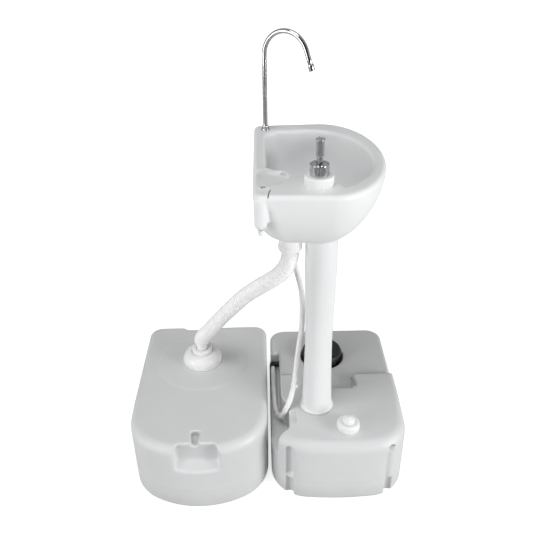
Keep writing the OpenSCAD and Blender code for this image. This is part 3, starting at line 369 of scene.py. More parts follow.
def arc(centre, radius, start, stop, steps):
    """Points of an arc in mm, both ends included."""
    return [(centre[0] + radius * math.cos(math.radians(start + (stop - start) * k / steps)),
             centre[1] + radius * math.sin(math.radians(start + (stop - start) * k / steps)))
            for k in range(steps + 1)]


def d_plan(x0, x1, mid, half, start, corner):
    """A D seen from above about y = mid: flat back at x0, half an ellipse up to x1."""
    front = [(start + (x1 - start) * math.cos(math.radians(-90 + 180 * k / 72)),
              mid + half * math.sin(math.radians(-90 + 180 * k / 72))) for k in range(73)]
    return (front + arc((x0 + corner, mid + half - corner - 5), corner, 80, 180, 12)
            + [(x0, mid + (half - corner - 5) * (1 - k / 6)) for k in range(1, 12)]
            + arc((x0 + corner, mid - half + corner + 5), corner, 180, 280, 12))


def shrink(s, power):
    """How much of the rim's reach is left at depth share s."""
    return max(0.0, 1 - s ** power) ** (1 / power)


def belly_plan(s, inset=0.0):
    """Outline of the basin's outside at depth share s."""
    back, front, side = shrink(s, 2.43), shrink(s, 1.88), shrink(s, 2.18)
    corner = min(14 + 150 * min(s, 0.2), 60 * back, 150 * side) - inset / 2
    return d_plan(BELLY_X - BELLY_BACK * back + inset, BELLY_X + BELLY_FRONT * front - inset, BELLY_Y,
                  BELLY_HALF * side - inset, BELLY_X + 30 * front, corner)


def bowl_plan(s, inset=0.0):
    """Outline of the bowl at depth share s."""
    back, front, side = shrink(s, 3), shrink(s, 2.3), shrink(s, 2.6)
    return d_plan(BOWL_X - BOWL_BACK * back - inset, BOWL_X + BOWL_FRONT * front + inset, BOWL_Y,
                  BOWL_HALF * side + inset, BOWL_X + 44 * front, 34 * min(back, side))


def at_height(outline, z):
    """An outline lifted to height z."""
    return [(x, y, z) for x, y in outline]


def depth_shares(least, steps=34):
    """Depth shares from the deepest ring up to the lip, closer together near the bottom."""
    shares = [math.sin(math.radians(86.5 * (1 - k / steps))) for k in range(steps)]
    return [s for s in shares if s > least]


# %% Basin body
LIP, OUTER_LIP = 7.0, 9.0
lip_angles = [math.radians(90 * k / 6) for k in range(7)]
belly_rings = [at_height(belly_plan(s), RIM_Z - (RIM_Z - BELLY_Z) * s) for s in depth_shares(0.06)]
belly_rings += [at_height(belly_plan(0, OUTER_LIP * (1 - math.cos(a))), RIM_Z - OUTER_LIP * (1 - math.sin(a)))
                for a in lip_angles]
belly = lofted("belly", belly_rings)
bowl_rings = [at_height(bowl_plan(s), RIM_Z - (RIM_Z - BOWL_Z) * s) for s in depth_shares(0.07)]
bowl_rings += [at_height(bowl_plan(0, LIP * (1 - math.cos(a))), RIM_Z - LIP + LIP * math.sin(a))
               for a in lip_angles]
bowl = lofted("bowl", bowl_rings + [at_height(bowl_plan(0, LIP), RIM_Z + 15)])
LEDGE_EDGE = [(-30, -112), (0, -113), (22, -128), (48, -141), (78, -149), (108, -152),
              (132, -165), (152, -186), (166, -212)]


def ledge_plan(dy, melt):
    """Outline of the soap ledge, its far edge moved by dy, and by melt the other way at its right end."""
    edge = curve_through(at_height(LEDGE_EDGE, 0), 40)
    return [(-41, -263), (180, -263)] + [(p.x / MM, p.y / MM + dy - melt * gradual(p.x / MM, 98, 45))
                                         for p in reversed(edge)]


LEDGE_LEVELS = [(-34, 0, 656), (-22, 0, 712), (-14, -8, 745), (-8, -12, 770), (-3, -8, 790), (-1.5, -2, 803),
                (-1, 6, 811), (-1.5, 13, 815.5), (-3, 21, 819), (-5.5, 29, 821), (-9, 38, 822)]
ledge = lofted("ledge", [at_height(ledge_plan(dy, melt), z) for dy, melt, z in LEDGE_LEVELS])
print("basin parts:", len(belly.data.vertices), len(bowl.data.vertices), len(ledge.data.vertices))

# %% Cut the bowl, and add the corner post, the ribs and the bead
boolean(bowl, ledge)
post = rod("post", 13, 722, 800, at=SPOUT_AT, edge=3)
RIB_X, RIB_R, RIB_END_Z = -9, 12, 766
corner_ribs = []
for y in (-228, 135):
    corner_ribs.append(rod("corner_rib", RIB_R, RIB_END_Z, 816, at=(RIB_X, y), edge=4))
    corner_ribs.append(ball("rib_end", RIB_R, (RIB_X, y, RIB_END_Z), 32))
boss = rod("boss", 34.5, 660, 706, at=COLUMN_AT)
stub = rod("stub", 21, 640, 692, at=DRAIN_AT)
seat = rod("seat", 26, 667, 692, at=DRAIN_AT, edge=1.5)
for extra in [post, boss, stub, seat] + corner_ribs:
    boolean(belly, extra, "UNION")
boolean(belly, bowl)
DISH = [(-12, -186), (8, -187), (22, -182), (34, -168), (44, -152), (38, -143), (22, -134), (8, -128),
        (-6, -132), (-12, -140)]
dish_line = curve_through(at_height(DISH + DISH[:1], 0), 60)[:-1]
dish = lofted("dish", [[(p.x / MM, p.y / MM, z) for p in dish_line] for z in (817.5, 834)])
boolean(belly, dish)
BEAD = [(-14, -126), (-6, -116), (7, -116), (19, -124), (29, -130), (38, -134), (48, -143)]
BEAD_STEPS = 28
bead_line = [p + Vector((0, 0, MM * (821.5 + 1.5 * math.sin(2 * math.pi * k / 16))))
             for k, p in enumerate(curve_through(at_height(BEAD, 0), BEAD_STEPS))]
bead_radii = [MM * (1.4 + 1.9 * math.sin(math.pi * min(1, 0.12 + k / BEAD_STEPS)) ** 0.5)
              for k in range(BEAD_STEPS + 1)]
bead = tube("bead", bead_line, bead_radii, 16, (0, 0, 1))
edit_all(bead)
bpy.ops.mesh.remove_doubles(threshold=1e-6)
bpy.ops.mesh.select_all(action="DESELECT")
bpy.ops.mesh.select_non_manifold()
bpy.ops.mesh.edge_face_add()
bpy.ops.object.mode_set(mode="OBJECT")
face_outwards(bead)
collar = rod("collar", 9, 816, 823.5, at=SPARE_AT, edge=1)
basin = join("basin_skin", [belly, bead, collar])
soften(basin, 2.3, 7)
print("basin skin:", len(basin.data.polygons), "faces")

# %% Bores and slits of the basin
OVER_RIM = 840
boolean(basin, rod("spare_hole", 5.5, 793, OVER_RIM, at=SPARE_AT))
boolean(basin, rod("soap_bore", 23, 742, OVER_RIM, at=SOAP_AT, sides=96))
boolean(basin, rod("shank_bore", 5.8, 715, OVER_RIM, at=SPOUT_AT))
boolean(basin, rod("drain_bore", 16, 630, 700, at=DRAIN_AT))
boolean(basin, rod("strainer_seat", 22.3, 673.5, 700, at=DRAIN_AT, edge=0.8))
slit = block("slit", (0, -1.2, 808), (27, 1.2, OVER_RIM), edge=0.6)
slit.data.transform(Matrix.Translation((9 * MM, -208 * MM, 0)) @ Matrix.Rotation(math.radians(-100), 4, "Z"))
boolean(basin, slit)
finished(basin, "moulded_basin", "stand", "stand_plastic", ["basin"], smooth=40)

# %% [markdown]
# ## The tanks
# Both tanks are blow-moulded polyethylene: a tube of soft plastic is closed in a mould and
# blown against its walls. That leaves a parting line all round, generous edges, and recesses
# with drafted walls. Each tank is a loft over its outline, whose near end bulges, and tools
# with rounded edges are sunk into it before the skin is relaxed.

# %% Outline of a tank
def tank_plan(x0, x1, y0, y1, bulge, near, far, inset=0.0):
    """A tank seen from above, inset from its outer face, in mm. Its near end bulges."""
    cx, half, cy = (x0 + x1) / 2, (x1 - x0) / 2, y0 + bulge
    ny = cy - math.sqrt((bulge - near) ** 2 - (half - near) ** 2)
    turn = math.degrees(math.atan2(ny - cy, half - near))
    points = arc((cx, cy), bulge - inset, -180 - turn, turn, 36)[:-1]
    points += arc((x1 - near, ny), near - inset, turn, 0, 14)
    points += [(x1 - inset, ny + (y1 - far - ny) * k / 16) for k in range(1, 16)]
    points += arc((x1 - far, y1 - far), far - inset, 0, 90, 12)
    points += [(x1 - far - (x1 - x0 - 2 * far) * k / 16, y1 - inset) for k in range(1, 16)]
    points += arc((x0 + far, y1 - far), far - inset, 90, 180, 12)
    points += [(x0 + inset, y1 - far - (y1 - far - ny) * k / 16) for k in range(1, 16)]
    points += arc((x0 + near, ny), near - inset, 180, 180 - turn, 14)[:-1]
    return points


def round_levels(z, radius, up, inset=0.0, steps=8):
    """Inset and height of the levels round a foot or a shoulder."""
    levels = []
    for k in range(steps + 1):
        a = math.radians(90 * k / steps)
        levels.append((inset + radius * (1 - math.cos(a)), z - radius + radius * math.sin(a)) if up
                      else (radius * (1 - math.sin(a)), z + radius * (1 - math.cos(a))))
    return levels


def tank_body(name, size, levels, shoulder):
    """The closed body of a tank through its levels, and up over its shoulder.

    shoulder is (top, radius, radius at the bulging near end).
    """
    rings = [at_height(tank_plan(*size, inset=inset), z) for inset, z in levels]
    top, tight, wide = shoulder
    share = [gradual(-y, -190 - size[2], 110) for _, y in tank_plan(*size)]
    share = [w * w * (3 - 2 * w) for w in share]
    for k in range(9):
        a = math.radians(90 * k / 8)
        small = at_height(tank_plan(*size, inset=tight * (1 - math.cos(a))), top - tight * (1 - math.sin(a)))
        large = at_height(tank_plan(*size, inset=wide * (1 - math.cos(a))), top - wide * (1 - math.sin(a)))
        rings.append([Vector(p).lerp(Vector(q), w) for p, q, w in zip(small, large, share)])
    return lofted(name, rings)


SEAM_Z, SEAM_OUT = 62.0, 0.8
FRESH = (4, 327, -197.5, 276.5, 807.5, 89, 43)
GREY = (-334, -4, -215.5, 260, 224.4, 110, 34)


def foot_levels(above):
    """Inset and height from a tank's rounded foot past its parting line, to inset above it."""
    return round_levels(0, 10, False) + [(0, SEAM_Z - 3), (-SEAM_OUT, SEAM_Z - 1), (-SEAM_OUT, SEAM_Z + 1),
                                         (above, SEAM_Z + 3)]


# %% Fresh-water tank
fresh = lofted("fresh", [at_height(tank_plan(*FRESH, inset=inset), z)
                         for inset, z in foot_levels(3) + round_levels(PLATE_Z, 9, True, 3)])
high = tank_body("high", FRESH, [(7, 30), (7, SEAM_Z - 2.5), (2, SEAM_Z - 0.5), (0, SEAM_Z + 2)],
                 (FRESH_Z, 12, 25))
STEP_Y, STEP_RUN = 76, 23
# the tools that cut the slanted step reach past the tank on three sides
PAST_LEFT, PAST_RIGHT, PAST_FAR = -20, 340, 300


def far_half(y):
    """Everything beyond y, seen from above."""
    return [(PAST_LEFT, y), (PAST_RIGHT, y), (PAST_RIGHT, PAST_FAR), (PAST_LEFT, PAST_FAR)]


boolean(high, block("wedge", (PAST_LEFT, STEP_Y, 0), (PAST_RIGHT, PAST_FAR, PLATE_Z)))
slope_top = far_half(STEP_Y - STEP_RUN)
boolean(high, lofted("ramp", [at_height(far_half(STEP_Y), PLATE_Z), at_height(slope_top, FRESH_Z),
                              at_height(slope_top, 210)]))
boolean(fresh, high, "UNION")


def recess(x0, x1, y0, y1, corner, floor, draft=1, lip=2):
    """A drafted, round-cornered tool that sinks a recess from above."""
    def plan(grow):
        outline = []
        for k, (x, y) in enumerate(((x1 - corner, y0 + corner), (x1 - corner, y1 - corner),
                                    (x0 + corner, y1 - corner), (x0 + corner, y0 + corner))):
            outline += arc((x, y), corner + grow, 90 * k - 90, 90 * k, 8)
        return outline
    levels = [(-draft - lip, floor), (-draft - lip * 0.3, floor + lip * 0.3), (-draft, floor + lip),
              (0.0, CLEAR_Z)]
    return lofted("recess", [at_height(plan(grow), z) for grow, z in levels])


boolean(fresh, rod("well", 58, 90, CLEAR_Z, at=PUMP_AT, sides=96))
boolean(fresh, rod("socket", 34.5, 118, CLEAR_Z, at=COLUMN_AT, sides=96))
boolean(fresh, recess(-30, 31, -30, 169, 7, 118, lip=4))
pocket = [(-30, -180), (4, -166), (43, -138), (48, -130), (48, -62), (31, -24), (31, -18), (-30, -18)]
boolean(fresh, prism("pocket", pocket, 112, CLEAR_Z))
boolean(fresh, recess(70, 226, -2, 120, 34, PLATE_Z, draft=3, lip=6))
NOTCH_Z = 149
boolean(fresh, recess(216, 225, 8, 70, 4, NOTCH_Z))
boolean(fresh, recess(90, 216, 0, 8, 4, NOTCH_Z))
GROOVES_X, GROOVE_Y, GROOVE_R, GROOVE_TOP = (47, 283), -178.5, 10.5, 150
for x in GROOVES_X:
    # a web 3 mm thick stays between the lower and the upper part of each groove
    boolean(fresh, ball("groove_end", GROOVE_R, (x, GROOVE_Y, GROOVE_TOP), 40))
    boolean(fresh, rod("groove", GROOVE_R, -5, SEAM_Z - 1.5, at=(x, GROOVE_Y)))
    boolean(fresh, rod("groove", GROOVE_R, SEAM_Z + 1.5, GROOVE_TOP, at=(x, GROOVE_Y)))
boolean(fresh, rod("neck", 22, 170, 194, at=FILLER_AT, edge=1.5), "UNION")
soften(fresh, 2.5, 6)
boolean(fresh, rod("filler", 17, 150, CLEAR_Z, at=FILLER_AT))
boolean(fresh, block("rest", (49.5, -118, 175.5), (66, -84, 190), edge=1.0))
for x in GROOVES_X:
    boolean(fresh, rod("web_hole", 2, 50, 72, at=(x, GROOVE_Y - 4), sides=24))
boolean(fresh, rod("tail_hole", 14.3, -5, 95, at=PUMP_AT))
finished(fresh, "fresh_water_tank", "stand", "tank_plastic", ["fresh_tank"], smooth=40)

# %% Recovery tank
grey = tank_body("grey", GREY, foot_levels(0), (GREY_Z, 12, 22))
boolean(grey, rod("pad", 118, 180, GREY_Z + 1, at=UNION_AT, sides=128, edge=1.0), "UNION")


def grip_tool():
    """The tool for the near hand grip: a scoop under the edge, and a finger slot above it."""
    section = [(-188, CLEAR_Z), (-188, 184), (-181, 164), (-181, 134), (-185, 128), (-222, 119), (-250, 116),
               (-250, CLEAR_Z)]
    front = arc((-191, 141), 30, 180, 270, 8) + arc((-144, 141), 30, 270, 360, 8) + [
        (-115, 172), (-119, 183), (-128, 192), (-128, CLEAR_Z), (-207, CLEAR_Z), (-207, 192), (-216, 183),
        (-220, 172)]
    across = lofted("across", [[(x, y, z) for x, z in front] for y in (-160, -270)])
    along = lofted("along", [[(x, y, z) for y, z in section] for x in (-230, -100)])
    modifier(along, "BEVEL", width=5 * MM, segments=4, limit_method="ANGLE", angle_limit=math.radians(20))
    modifier(across, "BOOLEAN", object=along, operation="INTERSECT", solver="EXACT")
    bpy.data.objects.remove(along)
    slot = prism("slot", [(-176.5, -196), (-166.5, -196), (-161, -149), (-184, -149)], 171, CLEAR_Z)
    modifier(slot, "BEVEL", width=3 * MM, segments=3, limit_method="ANGLE")
    return boolean(across, slot, "UNION")


boolean(grey, grip_tool())
far_grip = [(-242, 263), (-230, 247), (-154, 247), (-142, 263)]
boolean(grey, prism("far_grip", far_grip, 113, CLEAR_Z))
boolean(grey, rod("neck", 43, 186, 207, at=UNION_AT, edge=1.5), "UNION")
soften(grey, 2.5, 7)
# the melt bridges the tight corners round the grips, so they are relaxed much further
grips = grey.vertex_groups.new(name="grips")
for vertex in grey.data.vertices:
    x, y, z = vertex.co / MM
    reach = (gradual(x, -245, 18) * gradual(-x, 92, 18) * gradual(z, 92, 16)
             * (gradual(-y, 160, 14) if y < 0 else gradual(y, 225, 14)))
    if reach:
        grips.add([vertex.index], reach, "ADD")
modifier(grey, "SMOOTH", factor=0.5, iterations=22, vertex_group="grips")
grey.vertex_groups.clear()
boolean(grey, rod("mouth", 38, 150, CLEAR_Z, at=UNION_AT, sides=96))
finished(grey, "recovery_tank", "stand", "tank_plastic", ["grey_tank"], smooth=40)

# %% [markdown]
# ## Turned and screwed fittings
# Caps, nuts and collars are round pieces. Each starts as a closed profile whose corners get
# fillets, and the profile is spun about the piece's axis. Grip ribs are a wave that lifts the
# skin of one band, so they run out softly at both ends, as moulded ribs do.


# %% Helpers for turned pieces
def rounded_line(corners, steps=5):
    """An outline through (radius, height, fillet) corners, in mm."""
    points = []
    for k, (r, z, fillet) in enumerate(corners):
        here = Vector((r, z))
        before = Vector(corners[k - 1][:2]) - here
        after = Vector(corners[(k + 1) % len(corners)][:2]) - here
        if not fillet:
            points.append((r, z))
            continue
        reach = min(fillet / math.tan(before.angle(after) / 2), before.length * 0.49, after.length * 0.49)
        a, b = here + before.normalized() * reach, here + after.normalized() * reach
        for s in range(steps + 1):
            u = s / steps
            p = a * (1 - u) ** 2 + here * 2 * u * (1 - u) + b * u ** 2
            points.append((p.x, p.y))
    return points


def turned(name, corners, at=(0, 0), sides=96, ribs=None):
    """A piece spun about an upright axis from a closed profile, in mm.

    ribs is (count, depth, lowest z, highest z, least radius).
    """
    outline = rounded_line(corners)
    deselect()
    bpy.ops.mesh.primitive_circle_add(vertices=len(outline), radius=1)
    piece = bpy.context.object
    piece.name = name
    for vertex, (r, z) in zip(piece.data.vertices, outline):
        vertex.co = ((at[0] + r) * MM, at[1] * MM, z * MM)
    edit_all(piece)
    bpy.ops.mesh.spin(steps=sides, angle=2 * math.pi, center=(at[0] * MM, at[1] * MM, 0), axis=(0, 0, 1))
    bpy.ops.mesh.select_all(action="SELECT")
    bpy.ops.mesh.remove_doubles(threshold=2e-6)
    bpy.ops.mesh.dissolve_degenerate(threshold=1e-7)
    bpy.ops.mesh.delete_loose(use_verts=True, use_edges=True, use_faces=False)
    bpy.ops.object.mode_set(mode="OBJECT")
    if ribs:
        count, depth, low, high, reach = ribs
        for vertex in piece.data.vertices:
            x, y = vertex.co.x / MM - at[0], vertex.co.y / MM - at[1]
            r, z = math.hypot(x, y), vertex.co.z / MM
            if low <= z <= high and r >= reach:
                wave = (0.5 + 0.5 * math.cos(count * math.atan2(y, x))) ** 1.5
                ends = min(1.0, (z - low) / 0.8 + 0.05, (high - z) / 0.8 + 0.05)
                vertex.co.x += x / r * depth * wave * ends * MM
                vertex.co.y += y / r * depth * wave * ends * MM
    return face_outwards(piece)


def band(r, low, high, steps=7):
    """Corners up a straight band that will carry ribs, in mm."""
    return [(r, low + (high - low) * k / steps, 0) for k in range(steps + 1)]


# %% Column
WAIST_R, WAIST_H, COLUMN_WALL = 31, 205, 3.5


def column_r(h):
    """Outer radius of the column at height h above the tank."""
    if h < WAIST_H:
        return WAIST_R + 6 * ((WAIST_H - h) / WAIST_H) ** 1.6
    return WAIST_R + 3.5 * (1 - math.cos(math.pi * min(1, (h - WAIST_H) / 180))) / 2


SHAFT_H = [12, 18, 26, 36, 50, 70, 90, 110, 130, 150, 170, 190, 205, 220, 235, 255, 275, 295, 315, 335, 355,
           375, 390, 410, 440, 470]
plug_and_flange = [(33.2, 120, 1.5), (33.2, 178.4, 0), (39.8, 178.4, 0.6), (40.5, 180, 1), (40.5, 183, 2.2),
                   (38.4, 184.6, 1.5), (36.9, 187, 3)]
shaft = [(column_r(h), FRESH_Z + h, 0) for h in SHAFT_H]
top = [(34.5, 660, 0.8), (31, 660, 0.4), (31, 605, 1)]
hollow = [(r - COLUMN_WALL, z, 0) for r, z, _ in shaft[-4:0:-1]] + [(29.7, 186, 1), (29.7, 120, 0.5)]
column = turned("column", plug_and_flange + shaft + top + hollow, COLUMN_AT, 128)
finished(column, "blown_column", "stand", "stand_plastic", ["column"], smooth=30)

# %% Filler cap and vent knob
cap = turned("cap", [(23.1, 179.5, 0.3), (26, 179.5, 0.4)] + band(26, 180.3, 191) +
             [(26, 192, 2), (24.6, 196, 2.5), (21.5, 197.5, 2), (18.5, 197.2, 0.8), (17.6, 196.7, 0.4),
              (6.05, 196.7, 0.2), (6.05, 195.5, 0), (23.1, 195.5, 0.5)], FILLER_AT, 240,
             (30, 0.9, 180.3, 191.2, 25))
finished(cap, "ribbed_filler_cap", "cap", "white_plastic", ["filler_cap"], smooth=40)
knob = turned("knob", [(1.3, 195, 0.2), (6, 195, 0.3), (6, 197.6, 0), (15.4, 197.6, 0.4)]
              + band(15.4, 198, 201.4, 4) + [(15.2, 202.2, 0.9), (12.6, 203, 0.8), (11.3, 204.6, 0.8),
                                             (10.6, 208.4, 1.6), (6.2, 209.6, 0.8), (4.6, 211.8, 1.2),
                                             (1.3, 212, 0.5)], FILLER_AT, 200, (20, 0.6, 198, 202, 14.8))
finished(knob, "stepped_vent_knob", "vent", "white_plastic", ["vent_knob"], smooth=40)

# %% Union nut and hose adapter on the recovery tank
nut = turned("nut", [(44.1, 189.5, 0.4), (49.4, 189.5, 0.8)] + band(49.6, 190.6, 203)
             + [(49.4, 204.5, 1.5), (48.2, 209, 5), (44.5, 215, 6), (38.5, 220, 5), (33, 222, 3),
                (27.8, 221.8, 1), (27.6, 214.6, 0.4), (44.1, 213.3, 0.6)],
             UNION_AT, 384, (48, 1.2, 190.6, 204.5, 45))
finished(nut, "ribbed_union_nut", "union", "white_plastic", ["union_nut"], smooth=40)
adapter = turned("adapter", [(11, 209.2, 0.3), (42, 209.2, 0.5), (42, 213, 0.5), (26.5, 213.2, 0.8),
                             (26.5, 228.6, 0), (26.2, 230.4, 0.8), (24.6, 232, 1.6), (17, 232, 1.6),
                             (15.6, 229.5, 0.4), (15.5, 224, 0.2), (11, 224, 0.2)], UNION_AT, 96)
finished(adapter, "hose_adapter_collar", "stand", "white_plastic", ["hose_adapter"], smooth=40)

# %% Nut and strainer of the drain
drain_nut = turned("drain_nut", [(20, 618, 0.3), (24, 618, 0.8)] + band(24.3, 619.2, 629.8)
                   + [(24.2, 630.6, 0.5), (23.6, 631.4, 0.4), (23.6, 659.3, 0.5), (21.1, 659.3, 0.2),
                      (21.1, 640, 0.2), (20, 640, 0.2)], DRAIN_AT, 192, (24, 0.9, 619.2, 630.6, 24))
finished(drain_nut, "ribbed_drain_nut", "drain_collar", "white_plastic", ["drain_nut"], smooth=40)
strainer = turned("strainer", [(2.2, 674.6, 0), (2.2, 676.3, 0.3), (18, 676.2, 2), (22, 676.6, 0.5),
                               (22, 674.3, 0.2), (15.7, 674.3, 0), (15.7, 664, 0.2), (13, 664, 0.2),
                               (13, 674.6, 0)], DRAIN_AT, 96)
for hole_at in [(DRAIN_AT[0] + 8.5 * math.cos(math.radians(45 * k)),
                 DRAIN_AT[1] + 8.5 * math.sin(math.radians(45 * k))) for k in range(8)]:
    boolean(strainer, rod("hole", 2.6, 670, 680, at=hole_at, sides=32))
finished(strainer, "drain_strainer_cup", "stand", "chrome", ["drain_strainer"], smooth=35)

# %% [markdown]
# ## Spout and soap dispenser
# The gooseneck is one drawn stainless tube, bent over a former and plated. It swivels in a
# flange on the basin's back corner. The dispenser has a ribbed screw collar, a plated shroud
# with a rolled upper edge, and a head whose nozzle points over the bowl.

# %% Gooseneck spout
AZIMUTH, TURN = -32, 160
ARC_R, STEM_TOP, END = 50, 980, 27
profile_line = [(0, z) for z in (827.3, 827.6, 831.4, 832, 832.6, 834, 860, 890, 920, 950, 970)]
profile_line += [(ARC_R * (1 - math.cos(math.radians(a))), STEM_TOP + ARC_R * math.sin(math.radians(a)))
                 for a in range(0, TURN + 1, 4)]
tip = profile_line[-1]
along = (math.sin(math.radians(TURN)), math.cos(math.radians(TURN)))
profile_line += [(tip[0] + along[0] * d, tip[1] + along[1] * d) for d in (9, 18, 26.5, END)]
swing = (math.cos(math.radians(AZIMUTH)), math.sin(math.radians(AZIMUTH)))
spout_line = [((SPOUT_AT[0] + u * swing[0]) * MM, (SPOUT_AT[1] + u * swing[1]) * MM, z * MM)
              for u, z in profile_line]
spout_radii = [6.3, 6.6, 6.6, 6.3, 5.2] + [5.0] * (len(spout_line) - 6) + [4.8]
spout = tube("spout", spout_line, [r * MM for r in spout_radii], 48, (-swing[1], swing[0], 0),
             [(k, 4 * MM) for k in range(len(spout_line) - 1, -1, -1)])
face_outwards(spout)
finished(spout, "gooseneck_tube", "spout", "chrome", ["faucet_spout"], smooth=50)

# %% Outlet sleeve and flange of the spout
sleeve = turned("sleeve", [(2.5, 0, 0), (6.0, 0, 0.3), (6.1, 1.8, 0.2), (6.5, 2.2, 0.3), (6.5, 4.8, 0.3),
                           (6.1, 5.2, 0.2), (6.1, 12.9, 0.5), (4.6, 12.9, 0.3), (4.5, 4.2, 0), (2.5, 4.2, 0)])
place = (Matrix.Translation((SPOUT_AT[0] * MM, SPOUT_AT[1] * MM, STEM_TOP * MM))
         @ Matrix.Rotation(math.radians(AZIMUTH), 4, "Z") @ Matrix.Translation((ARC_R * MM, 0, 0))
         @ Matrix.Rotation(math.radians(TURN), 4, "Y") @ Matrix.Translation((-ARC_R * MM, 0, END * MM)))
sleeve.data.transform(place)
finished(sleeve, "outlet_sleeve", "spout", "chrome", ["aerator"], smooth=40)
flange = turned("flange", [(5.6, 822, 0), (9.9, 822, 0.2), (9.9, 823.6, 0.8), (8.6, 824.5, 0.5),
                           (8.4, 826.4, 0.8), (7.4, 827, 0.3), (5.6, 827, 0.2)], SPOUT_AT)
finished(flange, "spout_flange", "stand", "chrome", ["faucet_flange"], smooth=40)

# %% Soap dispenser
COLLAR_TOP, SHROUD_TOP, HEAD_TOP = 840.5, 861.5, 906
collar = turned("collar", [(14.4, 824, 0.2), (25.6, 824, 0.6)] + band(25.7, 825, COLLAR_TOP - 3)
                + [(25.6, COLLAR_TOP - 2, 0.8), (24.6, COLLAR_TOP - 0.1, 1.4), (9.1, COLLAR_TOP, 0),
                   (9.1, COLLAR_TOP - 3.4, 0), (14.4, COLLAR_TOP - 3.4, 0)], SOAP_AT, 320,
                (40, 0.7, 825, COLLAR_TOP - 2, 25.4))
finished(collar, "ribbed_soap_collar", "stand", "white_plastic", ["soap_collar"], smooth=40)
shroud = turned("shroud", [(10.4, COLLAR_TOP, 0), (17.3, COLLAR_TOP, 0.3), (17.4, SHROUD_TOP, 1.3),
                           (15.2, SHROUD_TOP, 0.8), (14.3, SHROUD_TOP - 2, 0.6), (6.1, SHROUD_TOP - 2, 0.4),
                           (6.1, COLLAR_TOP + 3, 0), (10.4, COLLAR_TOP + 3, 0)], SOAP_AT, 128)
finished(shroud, "plated_soap_shroud", "stand", "chrome", ["soap_shroud"], smooth=40)
head = turned("head", [(3.1, SHROUD_TOP - 12, 0), (6.0, SHROUD_TOP - 12, 0.2), (6.0, HEAD_TOP - 34, 3),
                       (7.5, HEAD_TOP - 29, 3), (7.5, HEAD_TOP - 2.6, 0.5), (7.2, HEAD_TOP - 2.2, 0.2),
                       (8.6, HEAD_TOP - 1.9, 0.3), (8.6, HEAD_TOP - 0.2, 0.5), (7.6, HEAD_TOP, 0.5),
                       (0, HEAD_TOP, 0), (0, HEAD_TOP - 6, 0), (3.1, HEAD_TOP - 8, 0)], SOAP_AT, 96)
nozzle_line = [(SOAP_AT[0] * MM, (SOAP_AT[1] + d) * MM, (HEAD_TOP - 4.8 + rise) * MM)
               for d, rise in ((3, 0), (8, 0), (13, 0.1), (17, 0), (20, -0.5), (22, -1.2))]
nozzle = tube("nozzle", nozzle_line, [2.2 * MM] * 2 + [2.1 * MM] * 2 + [2.0 * MM] * 2, 32, (1, 0, 0),
              [(k, 1.2 * MM) for k in range(5, -1, -1)])
face_outwards(nozzle)
boolean(head, nozzle, "UNION")
finished(head, "soap_pump_head", "soap_button", "chrome", ["soap_head"], smooth=40)

# %% [markdown]
# ## Foot pedal
# The pedal is a moulded disc of black polypropylene over rubber bellows. Rings of low nubs
# keep a wet shoe from slipping.

# %% Foot pedal
pedal = turned("pedal", [(0, 178, 0), (49, 178, 1), (49, 168, 0.5), (52.9, 168, 0.8), (52.9, 176, 3),
                         (51, 181, 3), (44, 183.4, 3), (27, 185, 0), (0, 185.6, 0)], PUMP_AT, 160)
boolean(pedal, rod("stem", 10, 120, 178.5, at=PUMP_AT), "UNION")
nubs = []
for ring in range(4):
    for k in range(6 * (ring + 1)):
        a = 2 * math.pi * k / (6 * (ring + 1))
        spot = (PUMP_AT[0] + 11 * (ring + 1) * math.cos(a), PUMP_AT[1] + 11 * (ring + 1) * math.sin(a))
        top = 186.2 - ring * 0.3
        nubs.append(rod("nub", 2.2, top - 4.5, top, at=spot, sides=24, edge=0.7))
pedal = join("pedal", [pedal] + nubs)
finished(pedal, "nubbed_pedal", "pedal", "black_plastic", ["foot_pedal"], smooth=40)

# %% [markdown]
# ## Materials
# Every finish starts from what the real piece is made of. Each material reads Object
# coordinates, so a pattern stays on its piece, and each pattern's scale is one over its real
# size. Moulded plastic is never quite even: it has a fine sand-blasted grain from the mould, a
# slow drift in tone where the wall is thicker, and hair scratches from use.

# %% Helpers for materials
def to_linear(hex_colour):
    """A colour written as sRGB hex, as the linear colour that nodes work in."""
    parts = [int(hex_colour[k:k + 2], 16) / 255 for k in (1, 3, 5)]
    return [c / 12.92 if c <= 0.04045 else ((c + 0.055) / 1.055) ** 2.4 for c in parts] + [1.0]


def add(tree, kind, inputs=None, **settings):
    """Add a node with its settings. An input is a value or another node's output."""
    new = tree.nodes.new(kind)
    for key, value in settings.items():
        setattr(new, key, value)
    for key, value in (inputs or {}).items():
        if isinstance(value, bpy.types.NodeSocket):
            tree.links.new(value, new.inputs[key])
        else:
            new.inputs[key].default_value = value
    return new


def scale_for(size_mm):
    """Texture scale, per metre, at which a feature is size_mm across."""
    return 1 / (size_mm * MM)


def from_to(tree, value, span, low, high, **settings):
    """A value mapped from the two ends of a span to low and high."""
    return add(tree, "ShaderNodeMapRange", {"Value": value, "From Min": span[0], "From Max": span[1],
                                            "To Min": low, "To Max": high}, **settings).outputs["Result"]


def mixed(tree, share, one, other):
    """A mix of two colours by a share."""
    return add(tree, "ShaderNodeMix", {"Factor": share, "A": one, "B": other},
               data_type="RGBA").outputs["Result"]


def noise(tree, place, size_mm, **inputs):
    """A noise whose features are size_mm across."""
    inputs |= {"Vector": place, "Scale": scale_for(size_mm)}
    return add(tree, "ShaderNodeTexNoise", inputs).outputs["Fac"]


def bump(tree, height, strength, depth_mm):
    """A normal that shows a height as relief depth_mm deep."""
    return add(tree, "ShaderNodeBump", {"Height": height, "Strength": strength,
                                        "Distance": depth_mm * MM}).outputs["Normal"]


